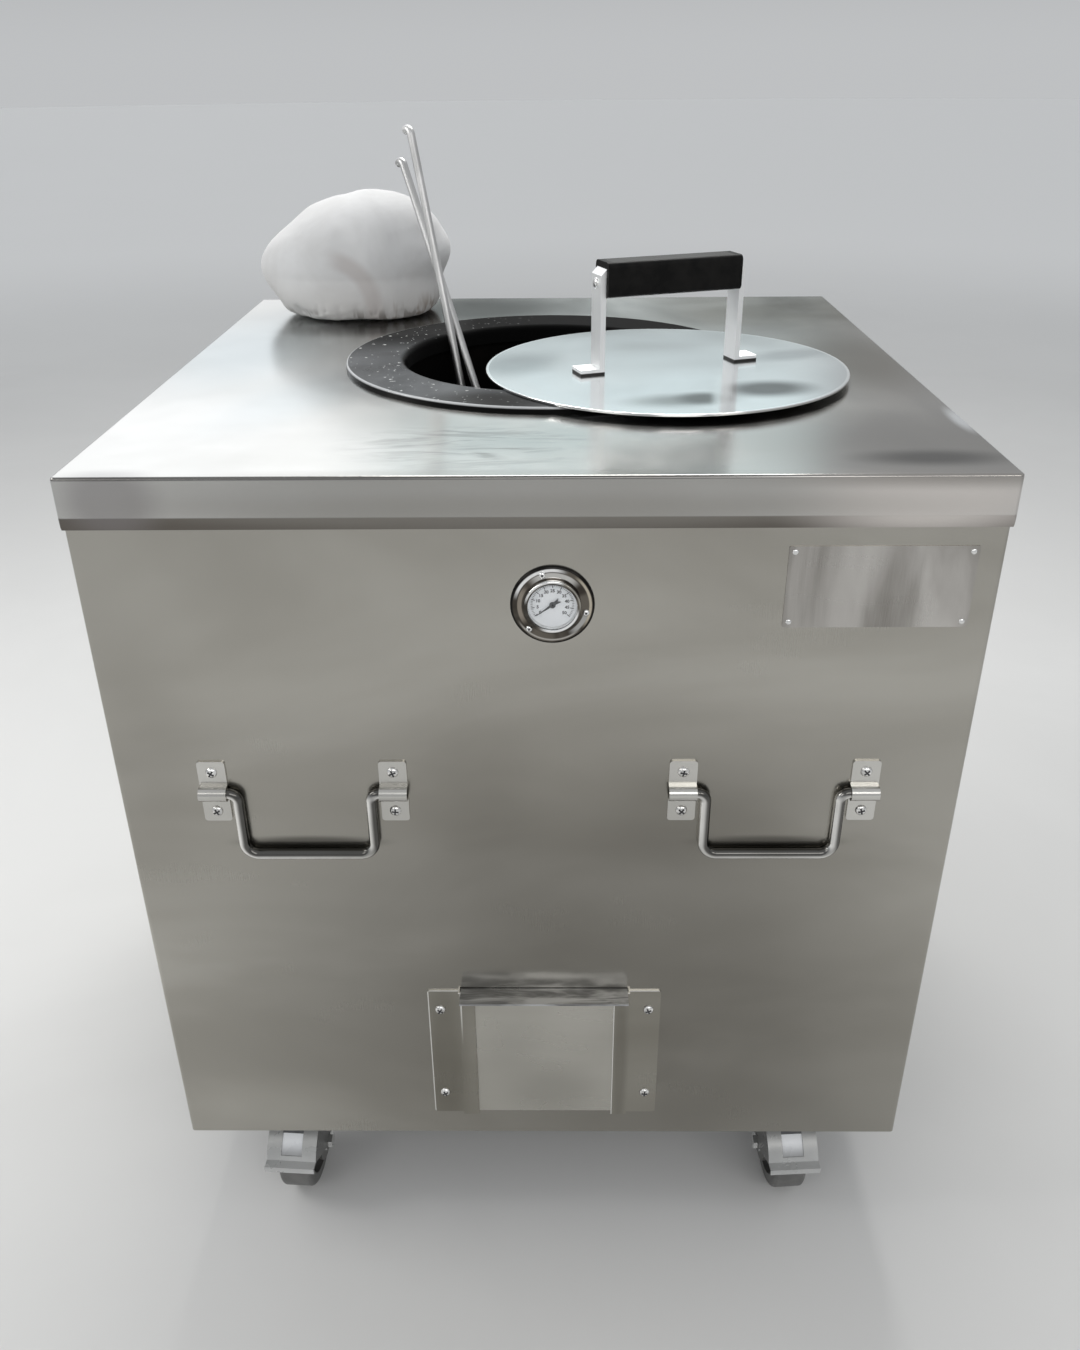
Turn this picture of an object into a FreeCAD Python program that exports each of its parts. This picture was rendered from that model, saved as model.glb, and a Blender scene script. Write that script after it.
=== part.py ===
import FreeCAD, Part
import math
import os
import re

import Sketcher
from FreeCAD import Placement, Rotation, Vector

# Square charcoal tandoor: a clay pot packed in insulation inside a sheet cabinet on castors.
# The origin is on the floor under the middle of the cabinet, the front faces -Y and +Z is up.

doc = FreeCAD.newDocument("SquareTandoor")
sizes = doc.addObject("Spreadsheet::Sheet", "Sizes")

# Driving dimensions in millimetres and degrees: name, number, meaning
dimensions = [
    ("body_width", 757, "cabinet across, over its sheets"),
    ("body_depth", 757, "cabinet front to back, over its sheets"),
    ("body_rise", 734, "bottom edge of the cabinet to its top face"),
    ("panel_sheet", 1.2, "thickness of the cabinet sheet"),
    ("panel_bend", 4, "outside radius of the upright folds"),
    ("panel_return", 24, "flange folded round each upright corner"),
    ("cover_sheet", 2, "thickness of the top cover"),
    ("cover_gap", 0.5, "room between the skirt and the cabinet"),
    ("cover_skirt", 44, "depth of the folded skirt"),
    ("cover_round", 2.5, "outside radius of the skirt's top fold"),
    ("cover_corner", 4, "outside radius of the skirt's upright corners"),
    ("hem_rise", 10, "height of the skirt's tucked-in hem"),
    ("hem_in", 1.5, "how far the hem is tucked in"),
    ("tray_sheet", 3, "thickness of the base tray"),
    ("tray_flange", 30, "height of the tray's upturned edge"),
    ("tray_corner", 6, "corner radius of the tray"),
    ("post_leg", 30, "leg of the corner angle"),
    ("post_wall", 3, "thickness of the corner angle"),
    ("mouth_x", 10, "mouth centre, to the right of the middle"),
    ("mouth_y", 14, "mouth centre, behind the middle"),
    ("mouth_radius", 154, "inside of the cast ring"),
    ("ring_width", 62, "cast ring from mouth to outer edge"),
    ("ring_thick", 6, "cast ring above the top face"),
    ("ring_edge", 2, "rounding of the ring's outer edge"),
    ("ring_lip", 6, "rounding of the ring's mouth"),
    ("collar_wall", 12, "thickness of the ring's collar"),
    ("collar_drop", 12, "collar below the top face"),
    ("collar_gap", 2, "room between collar and cover"),
    ("pot_step", 6, "pot's rim behind the ring's mouth"),
    ("pot_wall", 45, "thickness of the pot's rim"),
    ("pot_foot", 205, "inside radius under the grate"),
    ("pot_ledge", 226, "inside radius above the grate ledge"),
    ("pot_outer", 258, "outside radius of the foot"),
    ("pot_bow", 900, "radius of the belly curve"),
    ("ledge_over", 8, "grate ledge above the ash throat"),
    ("slab_thick", 50, "thickness of the hearth slab"),
    ("slab_edge", 12, "hearth slab beyond the pot's foot"),
    ("fill_gap", 0.5, "room between the fill and what it packs"),
    ("fill_drop", 15, "fill below the top face"),
    ("grate_thick", 14, "thickness of the fire grate"),
    ("grate_gap", 4, "room between grate and pot"),
    ("slot_width", 10, "width of a grate slot"),
    ("slot_pitch", 20, "spacing of the grate slots"),
    ("slot_length", 260, "length of a grate slot"),
    ("slot_count", 13, "number of grate slots"),
    ("ash_x", 4, "middle of the ash opening"),
    ("ash_width", 126, "width of the ash opening"),
    ("ash_height", 110, "height of the ash opening"),
    ("throat_sheet", 1.5, "thickness of the ash throat"),
    ("throat_gap", 1, "room round the throat in the pot"),
    ("guide_sheet", 1.5, "thickness of a door guide"),
    ("guide_below", 22.5, "guides below the ash opening"),
    ("guide_above", 37.5, "guides above the ash opening"),
    ("guide_flange", 31, "width of the screwed flange"),
    ("guide_lip", 14.5, "how far the lip covers the door"),
    ("guide_corner", 3, "corner radius of the flange"),
    ("guide_screw_in", 12, "screws from the flange's outer edge"),
    ("guide_screw_low", 29, "lower screw above the guide's end"),
    ("guide_screw_high", 25, "upper screw below the guide's end"),
    ("door_over", 20, "door beyond the ash opening on each side"),
    ("door_sheet", 2, "thickness of the ash door"),
    ("door_side", 1, "room beside the door in its guides"),
    ("door_play", 0.75, "room in front of and behind the door"),
    ("door_low", 3, "door's bottom edge above the guides' ends"),
    ("door_shelf", 22, "depth of the folded pull at the door's top"),
    ("seat_gap", 0.3, "gap under what rests loose"),
    ("gauge_x", 13.4, "gauge centre, to the right of the middle"),
    ("gauge_drop", 110.6, "gauge centre below the top face"),
    ("flange_edge", 3.6, "gauge flange beyond its screw heads"),
    ("flange_thick", 3, "thickness of the gauge flange"),
    ("flange_round", 2.4, "rounding of the flange's edge"),
    ("stud_room", 1.8, "flange screw heads from the bezel"),
    ("flange_turn", 107, "angle of the first flange screw"),
    ("stud_radius", 1.5, "shank of a flange screw"),
    ("stud_head", 2.9, "head of a flange screw"),
    ("stud_dome", 1.9, "height of a flange screw's head"),
    ("case_radius", 22.5, "gauge case"),
    ("case_wall", 2, "wall of the gauge case"),
    ("case_floor", 2, "floor of the gauge case"),
    ("case_sink", 4.3, "gauge case sunk through the panel"),
    ("case_gap", 0.3, "room between case and panel"),
    ("lens_room", 2.4, "pointer pivot to the glass"),
    ("stem_radius", 5, "gauge stem"),
    ("stem_short", 4.5, "stem short of the pot's foot radius"),
    ("stem_gap", 0.4, "room round the stem"),
    ("dial_seat", 4.4, "ledge under the dial above the panel"),
    ("dial_ledge", 2.5, "width of the ledge under the dial"),
    ("dial_thick", 0.6, "thickness of the dial"),
    ("dial_gap", 0.15, "room round the dial"),
    ("pivot_radius", 0.8, "pointer pivot"),
    ("pivot_gap", 0.05, "running room on the pointer pivot"),
    ("pointer_lift", 0.6, "pointer above the dial"),
    ("pointer_thick", 0.7, "thickness of the pointer"),
    ("pointer_hub", 2.6, "radius of the pointer hub"),
    ("pointer_short", 3.7, "pointer's tip inside the case wall"),
    ("pointer_tail", 7.5, "pivot to the tail's end"),
    ("pointer_width", 2, "width of the pointer at its hub"),
    ("pointer_rest", 216, "direction of the pointer at zero"),
    ("lens_thick", 1.2, "thickness of the gauge glass"),
    ("lens_inset", 0.5, "glass inside the case's edge"),
    ("bezel_wall", 1.2, "wall of the bezel"),
    ("bezel_lip", 3.2, "bezel over the glass"),
    ("bezel_front", 1.4, "thickness of the bezel's front"),
    ("bezel_gap", 0.1, "room between bezel and case"),
    ("plate_in", 21.5, "name plate from the cabinet's right edge"),
    ("plate_drop", 60, "name plate below the top face"),
    ("plate_width", 153, "name plate"),
    ("plate_height", 72, "name plate"),
    ("plate_thick", 0.8, "thickness of the name plate"),
    ("plate_corner", 1.5, "corner radius of the name plate"),
    ("plate_inset", 5, "rivets from the plate's edges"),
    ("rivet_radius", 1.5, "shank of a plate rivet"),
    ("rivet_head", 2.6, "head of a plate rivet"),
    ("rivet_dome", 1.3, "height of a plate rivet's head"),
    ("screw_radius", 2, "shank of a panel screw"),
    ("screw_head", 5.3, "head of a panel screw"),
    ("screw_dome", 3.2, "height of a panel screw's head"),
    ("screw_tail", 3.5, "screw behind the panel's face"),
    ("screw_gap", 0.2, "room round a screw's shank"),
    ("handle_in", 168, "handle centre from the cabinet's side"),
    ("handle_high", 440, "handle pivot above the cabinet bottom"),
    ("strap_room", 0.5, "strap beside the bail's bend"),
    ("strap_width", 25, "width of a strap"),
    ("strap_height", 63, "height of a strap"),
    ("strap_sheet", 2, "thickness of a strap"),
    ("strap_screw", 20.5, "screws above and below the pivot"),
    ("strap_corner", 3, "corner radius of a strap"),
    ("bail_radius", 5, "bail rod"),
    ("bail_gap", 0.08, "running room of the bail in its straps"),
    ("bail_off", 0.3, "bail in front of the panel"),
    ("bail_arm", 60, "bail arm from the handle's centre"),
    ("bail_drop", 66.5, "pivot to the bail's bar"),
    ("bail_top_bend", 8, "bend at the straps, on the rod's middle"),
    ("bail_low_bend", 13, "bend at the bar, on the rod's middle"),
    ("bail_end", 2, "bail end inside the strap's outer edge"),
    ("lid_off_x", 119.6, "lid slid to the right of the mouth"),
    ("lid_off_y", 69, "lid slid to the front of the mouth"),
    ("lid_over", 29.5, "lid beyond the mouth"),
    ("lid_thick", 2.5, "thickness of the lid disc"),
    ("lid_edge", 0.6, "edge break of the lid disc"),
    ("lid_turn", 20, "turn of the lid's handle"),
    ("grip_half", 72, "half the grip's length"),
    ("grip_deep", 33, "grip across"),
    ("grip_tall", 33, "grip height"),
    ("grip_round", 5, "edge radius of the grip"),
    ("bar_thick", 5.5, "thickness of the lid's strap"),
    ("bar_width", 24, "width of the lid's strap"),
    ("bar_rise", 106, "lid to the top of the strap"),
    ("bar_foot", 20, "foot of the strap beyond its leg"),
    ("bar_corner", 12, "slope across the strap's top corners"),
    ("grip_screw_drop", 20, "grip screw below the strap's top"),
    ("grip_screw_reach", 16, "grip screw inside the grip"),
    ("castor_in_x", 106.5, "castor swivel from the cabinet's side"),
    ("castor_in_y", 95.5, "castor swivel from the cabinet's front or back"),
    ("castor_trail", 38, "swivel to the axle"),
    ("castor_turn", 3.5, "front castors turned outward"),
    ("wheel_radius", 50, "castor wheel"),
    ("wheel_width", 36, "width of the tread"),
    ("wheel_round", 5, "edge radius of the tread"),
    ("rim_depth", 14, "tread to the wheel's web"),
    ("web_half", 8, "half the thickness of the web"),
    ("hub_radius", 13, "wheel hub"),
    ("hub_proud", 2.5, "hub beyond the tread on each side"),
    ("axle_radius", 5, "axle bolt"),
    ("axle_gap", 0.08, "running room on axle and kingpin"),
    ("axle_head", 8.5, "corner radius of the axle's head and nut"),
    ("axle_head_thick", 5, "thickness of the axle's head and nut"),
    ("hub_gap", 0.5, "room between hub and fork"),
    ("wheel_room", 5.7, "wheel below the kingpin"),
    ("fork_leg", 3.5, "thickness of a fork leg"),
    ("fork_boss", 22, "radius round the axle on a leg"),
    ("fork_back", 28, "leg behind the swivel at the crown"),
    ("fork_front", 40, "leg in front of the swivel at the crown"),
    ("crown_radius", 36, "swivel crown"),
    ("crown_thick", 14.7, "thickness of the swivel crown"),
    ("crown_round", 4, "rounding of the crown"),
    ("king_radius", 6, "kingpin"),
    ("king_head", 10, "kingpin head"),
    ("king_head_thick", 6, "thickness of the kingpin head"),
    ("mount_plate_x", 100, "castor plate across"),
    ("mount_plate_y", 84, "castor plate front to back"),
    ("mount_plate_thick", 3, "thickness of a castor plate"),
    ("mount_plate_corner", 6, "corner radius of a castor plate"),
    ("bolt_x", 80, "castor bolts apart, across"),
    ("bolt_y", 62, "castor bolts apart, front to back"),
    ("bolt_radius", 4, "castor bolt"),
    ("bolt_head", 7.2, "corner radius of a castor bolt's head and nut"),
    ("bolt_head_thick", 5, "thickness of a castor bolt's head and nut"),
    ("pedal_gap", 6, "pedal over the tread"),
    ("pedal_sheet", 2.5, "thickness of the pedal"),
    ("pedal_side", 0.5, "room between pedal and fork"),
    ("pedal_low", 26, "angle of the pedal's lower end above level"),
    ("pedal_high", 80, "angle of the pedal's upper end above level"),
    ("pedal_lip", 10, "tread of the pedal, outward"),
    ("pedal_fold", 7, "down-turned edge of the tread"),
    ("pedal_boss", 12, "pedal ear round the axle"),
    ("window_width", 23, "window in the pedal"),
    ("window_start", 31, "angle of the window's lower edge above level"),
    ("window_stop", 68, "angle of the window's upper edge above level"),
    ("insert_sink", 1.2, "moulded insert below the pedal's face"),
    ("insert_thick", 2.2, "thickness of the insert"),
    ("pad_in_x", 142.5, "pad centre from the cabinet's left side"),
    ("pad_in_y", 84.5, "pad centre from the cabinet's back"),
    ("pad_width", 243, "pad across"),
    ("pad_depth", 164, "pad front to back"),
    ("pad_height", 147, "pad height"),
    ("pad_peak", 26, "crown to the right of the pad's centre"),
    ("rod_radius", 4.5, "tool rods"),
    ("rod_curl", 6, "radius of the bend at a rod's top"),
    ("rod_tail", 3, "rod beyond that bend"),
    ("rim_gap", 0.4, "rod clear of the mouth"),
    ("hook_at", 138.6, "where the hook rod leans on the mouth"),
    ("hook_lean", 16.2, "hook rod from upright"),
    ("hook_way", 130.3, "direction in which the hook rod leans"),
    ("hook_length", 796, "hook rod from end to end"),
    ("hook_bend", 12, "radius of the hook"),
    ("scraper_at", 134.2, "where the scraper rod leans on the mouth"),
    ("scraper_lean", 29.3, "scraper rod from upright"),
    ("scraper_way", 128.9, "direction in which the scraper rod leans"),
    ("scraper_length", 836, "scraper rod from end to end"),
    ("blade_width", 26, "scraper blade across"),
    ("blade_length", 60, "scraper blade along the rod"),
    ("blade_thick", 3, "thickness of the scraper blade"),
]

for row, (alias, amount, meaning) in enumerate(dimensions, start=1):
    sizes.set(f"A{row}", meaning)
    sizes.set(f"B{row}", str(amount))
    sizes.setAlias(f"B{row}", alias)
doc.recompute()
aliases = {alias for alias, amount, meaning in dimensions}

# Sizes, levels and faces that follow from the driving dimensions
derived = {
    "hub_half": "wheel_width / 2 + hub_proud",
    "fork_half": "hub_half + hub_gap",
    "king_low": "2 * wheel_radius + wheel_room",
    "king_seat": "king_low + king_head_thick",
    "crown_low": "king_seat + seat_gap",
    "crown_top": "crown_low + crown_thick",
    "castor_rise": "crown_top + seat_gap + mount_plate_thick",
    "castor_x": "body_width / 2 - castor_in_x",
    "castor_y": "body_depth / 2 - castor_in_y",
    "top": "castor_rise + body_rise",
    "front": "-body_depth / 2",
    "back": "body_depth / 2",
    "under_cover": "top - cover_sheet",
    "panel_rise": "body_rise - cover_sheet",
    "tray_floor": "castor_rise + tray_sheet",
    "pot_mouth": "mouth_radius + pot_step",
    "pot_top": "top - collar_drop",
    "slab_radius": "pot_outer + slab_edge",
    "slab_top": "tray_floor + slab_thick",
    "ash_floor": "slab_top + throat_sheet",
    "ash_top": "ash_floor + ash_height",
    "throat_top": "ash_top + throat_sheet",
    "throat_half": "ash_width / 2 + throat_sheet",
    "grate_seat": "throat_top + ledge_over",
    "grate_top": "grate_seat + grate_thick",
    "ring_radius": "mouth_radius + ring_width",
    "ring_top": "top + ring_thick",
    "lid_radius": "mouth_radius + lid_over",
    "lid_x": "mouth_x + lid_off_x",
    "lid_y": "mouth_y - lid_off_y",
    "lid_low": "ring_top + seat_gap",
    "lid_top": "lid_low + lid_thick",
    "guide_end": "ash_floor - guide_below",
    "guide_top": "ash_top + guide_above",
    "guide_height": "guide_top - guide_end",
    "guide_step": "2 * door_play + door_sheet + guide_sheet",
    "door_width": "ash_width + 2 * door_over",
    "channel": "door_width / 2 + door_side",
    "gauge_z": "top - gauge_drop",
    "bezel_bore": "case_radius + bezel_gap",
    "bezel_outer": "bezel_bore + bezel_wall",
    "flange_screws": "bezel_outer + stud_room + stud_head",
    "flange_radius": "flange_screws + stud_head + flange_edge",
    "case_bore": "case_radius - case_wall",
    "pointer_reach": "case_bore - pointer_short",
    "pointer_low": "dial_seat + dial_thick + pointer_lift",
    "pivot_top": "pointer_low + 2 * pointer_thick",
    "case_rise": "pivot_top + lens_room",
    "stem_length": "body_depth / 2 + mouth_y - pot_outer - stem_short - case_sink",
    "plate_x": "body_width / 2 - plate_in - plate_width / 2",
    "plate_z": "top - plate_drop - plate_height / 2",
    "handle_x": "body_width / 2 - handle_in",
    "handle_z": "castor_rise + handle_high",
    "bail_out": "bail_radius + bail_off",
    "strap_apart": "bail_arm + bail_top_bend + strap_room + strap_width / 2",
    "pad_x": "pad_in_x - body_width / 2",
    "pad_y": "body_depth / 2 - pad_in_y",
}
outward = Rotation(Vector(1, 0, 0), 90)
sideways = Rotation(Vector(0, 1, 0), 90)
nodes = {}


# Writes a derived size out in driving dimensions
def spell(text):
    def meaning(word):
        return f"({spell(derived[word[0]])})" if word[0] in derived else word[0]

    return re.sub(r"[a-z]\w*", meaning, text)


def number(text):
    return float(sizes.evalExpression(spell(text)))


def on_sheet(text):
    def cell(word):
        return f"Sizes.{word[0]}" if word[0] in aliases else word[0]

    return re.sub(r"[a-z]\w*", cell, spell(text))


def bind(item, **expressions):
    for prop, text in expressions.items():
        item.setExpression(prop.replace("__", "."), on_sheet(text))


def put(item, x="0", y="0", z="0", rotation=None):
    item.Placement = Placement(Vector(number(x), number(y), number(z)), rotation or Rotation())
    bind(item, Placement__Base__x=x, Placement__Base__y=y, Placement__Base__z=z)
    return item


def node(label, item):
    item.Label = label
    nodes[label] = item
    return item


def new_body(label):
    return doc.addObject("PartDesign::Body", label)


def new_sketch(body, role, offset="0"):
    sketch = body.newObject("Sketcher::SketchObject", body.Name + "_outline")
    support = next(item for item in body.Origin.OriginFeatures if item.Role == role)
    sketch.AttachmentSupport = [(support, "")]
    sketch.MapMode = "FlatFace"
    bind(sketch, AttachmentOffset__Base__z=offset)
    return sketch


# An outline through points given as expressions. A bend turns the edge after a point into an arc:
# its radius, and +1 or -1 for a bulge to the left or the right of the way from point to point.
def outline(sketch, points, bends=None, closed=True):
    bends = bends or {}
    spots = [Vector(number(x), number(y), 0) for x, y in points]
    ends = []
    for at, start in enumerate(spots if closed else spots[:-1]):
        stop = spots[(at + 1) % len(spots)]
        if at not in bends:
            edge = sketch.addGeometry(Part.LineSegment(start, stop), False)
            ends.append((edge, 1, 2))
            continue
        radius, side = bends[at]
        along = stop - start
        left = Vector(-along.y, along.x, 0).normalize()
        rise = math.sqrt(number(radius) ** 2 - (along.Length / 2) ** 2)
        centre = (start + stop) * 0.5 - left * side * rise
        first = math.atan2(start.y - centre.y, start.x - centre.x)
        last = math.atan2(stop.y - centre.y, stop.x - centre.x)
        circle = Part.Circle(centre, Vector(0, 0, 1), number(radius))
        if side > 0:
            edge = sketch.addGeometry(Part.ArcOfCircle(circle, last, first), False)
            ends.append((edge, 2, 1))
        else:
            edge = sketch.addGeometry(Part.ArcOfCircle(circle, first, last), False)
            ends.append((edge, 1, 2))
        hold(sketch, [Sketcher.Constraint("Radius", edge, number(radius))], [radius])
    for at, (edge, start_end, stop_end) in enumerate(ends):
        if closed or at + 1 < len(ends):
            after, after_start = ends[(at + 1) % len(ends)][:2]
            sketch.addConstraint(Sketcher.Constraint("Coincident", edge, stop_end, after, after_start))
        place_point(sketch, edge, start_end, points[at])
    if not closed:
        place_point(sketch, ends[-1][0], ends[-1][2], points[-1])


def place_point(sketch, edge, end, point):
    across, up = point
    rules = [
        Sketcher.Constraint("DistanceX", -1, 1, edge, end, number(across)),
        Sketcher.Constraint("DistanceY", -1, 1, edge, end, number(up)),
    ]
    hold(sketch, rules, [across, up])


def hold(sketch, rules, texts):
    for rule, text in zip(rules, texts):
        at = sketch.addConstraint(rule)
        sketch.setExpression(f"Constraints[{at}]", on_sheet(text))


def rectangle(sketch, left, right, low, high):
    outline(sketch, [(left, low), (right, low), (right, high), (left, high)])


def circle(sketch, x, y, radius):
    ring = Part.Circle(Vector(number(x), number(y), 0), Vector(0, 0, 1), number(radius))
    edge = sketch.addGeometry(ring, False)
    place_point(sketch, edge, 3, (x, y))
    hold(sketch, [Sketcher.Constraint("Radius", edge, number(radius))], [radius])


def pad(body, sketch, length, symmetric=False, backwards=False):
    feature = body.newObject("PartDesign::Pad", body.Name + "_pad")
    feature.Profile = sketch
    feature.SideType = "Symmetric" if symmetric else "One side"
    feature.Reversed = backwards
    bind(feature, Length=length)
    return feature


def pocket(body, sketch, length=None, symmetric=False, backwards=False):
    feature = body.newObject("PartDesign::Pocket", body.Name + "_pocket")
    feature.Profile = sketch
    feature.SideType = "Symmetric" if symmetric else "One side"
    feature.Reversed = backwards
    if length is None:
        feature.Type = "ThroughAll"
    else:
        bind(feature, Length=length)
    doc.recompute()
    if feature.Shape.Volume > feature.BaseFeature.Shape.Volume - 1e-6:
        raise RuntimeError(f"{feature.Name} cut nothing")
    return feature


def turn(body, sketch):
    feature = body.newObject("PartDesign::Revolution", body.Name + "_turned")
    feature.Profile = sketch
    feature.ReferenceAxis = (sketch, ["V_Axis"])
    feature.Angle = 360
    return feature


def pipe(body, profile, spine):
    feature = body.newObject("PartDesign::AdditivePipe", body.Name + "_pipe")
    feature.Profile = profile
    feature.Spine = spine
    return feature


def fillet(body, radius, wanted):
    doc.recompute()
    base = body.Tip
    chosen = [f"Edge{at}" for at, edge in enumerate(base.Shape.Edges, start=1) if wanted(edge)]
    feature = body.newObject("PartDesign::Fillet", body.Name + "_round")
    feature.Base = (base, chosen)
    bind(feature, Radius=radius)
    return feature


# True for a straight edge along the given direction
def runs(edge, direction):
    if not isinstance(edge.Curve, Part.Line):
        return False
    return abs(abs(edge.Curve.Direction * direction) - 1) < 1e-6


def near(amount, text):
    return abs(amount - number(text)) < 1e-4


def box(name, left, right, near_y, far_y, low, high):
    item = doc.addObject("Part::Box", name)
    bind(item, Length=f"({right}) - ({left})", Width=f"({far_y}) - ({near_y})", Height=f"({high}) - ({low})")
    return put(item, left, near_y, low)


def cylinder(name, radius, height, x="0", y="0", z="0", rotation=None):
    item = doc.addObject("Part::Cylinder", name)
    bind(item, Radius=radius, Height=height)
    return put(item, x, y, z, rotation)


def hexagon(name, corner, height, z="0"):
    item = doc.addObject("Part::Prism", name)
    item.Polygon = 6
    bind(item, Circumradius=corner, Height=height)
    return put(item, z=z)


def dome(name, radius, height):
    item = doc.addObject("Part::Ellipsoid", name)
    bind(item, Radius1=height, Radius2=radius)
    item.Angle1 = 0
    item.Angle2 = 90
    return item


def fuse(name, items):
    item = doc.addObject("Part::MultiFuse", name)
    item.Shapes = items
    return item


def cut(name, base, tool):
    item = doc.addObject("Part::Cut", name)
    item.Base = base
    item.Tool = tool
    return item


def group(label, items):
    item = doc.addObject("Part::Compound", label)
    item.Links = items
    return node(label, item)


# A round-headed screw or rivet: its head's flat side at the origin, its shank along -Z
def screw(name, radius, head, head_rise, length):
    shank = cylinder(name + "_shank", radius, f"({length}) + ({head_rise}) / 4", z=f"-({length})")
    return fuse(name, [dome(name + "_head", head, head_rise), shank])


# Places on the front panel

handle_sides = (("left", "-1"), ("right", "1"))
strap_spots = [
    (f"{side} * handle_x + {end} * strap_apart", f"handle_z + {level} * strap_screw")
    for name, side in handle_sides
    for end in ("-1", "1")
    for level in ("-1", "1")
]
guide_screw_x = "(channel + guide_sheet + guide_flange - guide_screw_in)"
guide_spots = [
    (f"ash_x + {side} * {guide_screw_x}", level)
    for name, side in handle_sides
    for level in ("guide_end + guide_screw_low", "guide_top - guide_screw_high")
]
flange_spots = [
    (
        f"gauge_x + flange_screws * cos(flange_turn + {step})",
        f"gauge_z + flange_screws * sin(flange_turn + {step})",
    )
    for step in (0, 120, 240)
]
plate_spots = [
    (
        f"plate_x + {side} * (plate_width / 2 - plate_inset)",
        f"plate_z + {level} * (plate_height / 2 - plate_inset)",
    )
    for side in ("-1", "1")
    for level in ("-1", "1")
]


# Cabinet sheets: front and back are folded round the corners, the sides are tucked inside the folds
def folded_panel(label, facing):
    half = "body_width / 2"
    face = f"({facing} * body_depth / 2)"
    inner = f"({facing} * (body_depth / 2 - panel_sheet))"
    end = f"({facing} * (body_depth / 2 - panel_return))"
    body = new_body(label)
    sketch = new_sketch(body, "XY_Plane", "castor_rise")
    outline(sketch, [
        (f"-{half}", end), (f"-{half}", face), (half, face), (half, end),
        (f"{half} - panel_sheet", end), (f"{half} - panel_sheet", inner),
        (f"-{half} + panel_sheet", inner), (f"-{half} + panel_sheet", end),
    ])
    pad(body, sketch, "panel_rise")

    def outer_fold(edge):
        return runs(edge, Vector(0, 0, 1)) and near(edge.CenterOfMass.y, face)

    def inner_fold(edge):
        return runs(edge, Vector(0, 0, 1)) and near(edge.CenterOfMass.y, inner)

    fillet(body, "panel_bend", outer_fold)
    fillet(body, "panel_bend - panel_sheet", inner_fold)
    return node(label, body)


front_panel = folded_panel("front_panel", "-1")
folded_panel("back_panel", "1")
holes = new_sketch(front_panel, "XZ_Plane")
rectangle(
    holes, "ash_x - ash_width / 2", "ash_x + ash_width / 2",
    "ash_floor", "ash_top",
)
circle(holes, "gauge_x", "gauge_z", "case_radius + case_gap")
for x, z in strap_spots + guide_spots:
    circle(holes, x, z, "screw_radius + screw_gap")
for x, z in flange_spots:
    circle(holes, x, z, "stud_radius + screw_gap")
for x, z in plate_spots:
    circle(holes, x, z, "rivet_radius + screw_gap")
pocket(front_panel, holes, backwards=True)

for name, side in handle_sides:
    outer = f"({side} * (body_width / 2 - panel_sheet))"
    inner = f"({side} * (body_width / 2 - 2 * panel_sheet))"
    left, right = (outer, inner) if name == "left" else (inner, outer)
    node(f"{name}_panel", box(
        f"{name}_panel", left, right, "front + panel_bend", "back - panel_bend", "castor_rise", "under_cover",
    ))

# Top cover: a shallow tray turned over, with the hole for the mouth
cover_half_x = "(body_width / 2 + cover_gap + cover_sheet)"
cover_half_y = "(body_depth / 2 + cover_gap + cover_sheet)"
cover = new_body("top_cover")
sketch = new_sketch(cover, "XY_Plane", "top - cover_skirt")
rectangle(sketch, f"-{cover_half_x}", cover_half_x, f"-{cover_half_y}", cover_half_y)
pad(cover, sketch, "cover_skirt")
fillet(cover, "cover_corner", lambda edge: runs(edge, Vector(0, 0, 1)))
fillet(cover, "cover_round", lambda edge: near(edge.CenterOfMass.z, "top"))
sketch = new_sketch(cover, "XY_Plane", "top - cover_skirt")
rectangle(
    sketch, f"-{cover_half_x} + cover_sheet", f"{cover_half_x} - cover_sheet",
    f"-{cover_half_y} + cover_sheet", f"{cover_half_y} - cover_sheet",
)
pocket(cover, sketch, "cover_skirt - cover_sheet", backwards=True)
hem_low, hem_high = "top - cover_skirt", "top - cover_skirt + hem_rise"
for plane, half in (("YZ_Plane", cover_half_y), ("XZ_Plane", cover_half_x)):
    for face in ("-1", "1"):
        sketch = new_sketch(cover, plane)
        edge = f"{face} * {half}"
        outline(sketch, [(edge, hem_low), (edge, hem_high), (f"{face} * ({half} - hem_in)", hem_low)])
        pocket(cover, sketch, symmetric=True)
sketch = new_sketch(cover, "XY_Plane", "top")
circle(sketch, "mouth_x", "mouth_y", "mouth_radius + collar_wall + collar_gap")
pocket(cover, sketch)
node("top_cover", cover)

# Base tray with the castor bolt holes
tray_half_x = "(body_width / 2 - 2 * panel_sheet)"
tray_half_y = "(body_depth / 2 - panel_sheet)"
castor_corners = [
    ("front_left", "-1", "-1"), ("front_right", "1", "-1"),
    ("rear_left", "-1", "1"), ("rear_right", "1", "1"),
]
bolt_spots = [
    (f"{side} * castor_x + {across} * bolt_x / 2", f"{end} * castor_y + {along} * bolt_y / 2")
    for name, side, end in castor_corners
    for across in ("-1", "1")
    for along in ("-1", "1")
]
tray = new_body("base_tray")
sketch = new_sketch(tray, "XY_Plane", "castor_rise")
rectangle(sketch, f"-{tray_half_x}", tray_half_x, f"-{tray_half_y}", tray_half_y)
pad(tray, sketch, "tray_flange")
fillet(tray, "tray_corner", lambda edge: runs(edge, Vector(0, 0, 1)))
sketch = new_sketch(tray, "XY_Plane", "castor_rise + tray_flange")
rectangle(
    sketch, f"-{tray_half_x} + tray_sheet", f"{tray_half_x} - tray_sheet",
    f"-{tray_half_y} + tray_sheet", f"{tray_half_y} - tray_sheet",
)
pocket(tray, sketch, "tray_flange - tray_sheet")
sketch = new_sketch(tray, "XY_Plane", "tray_floor")
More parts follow.
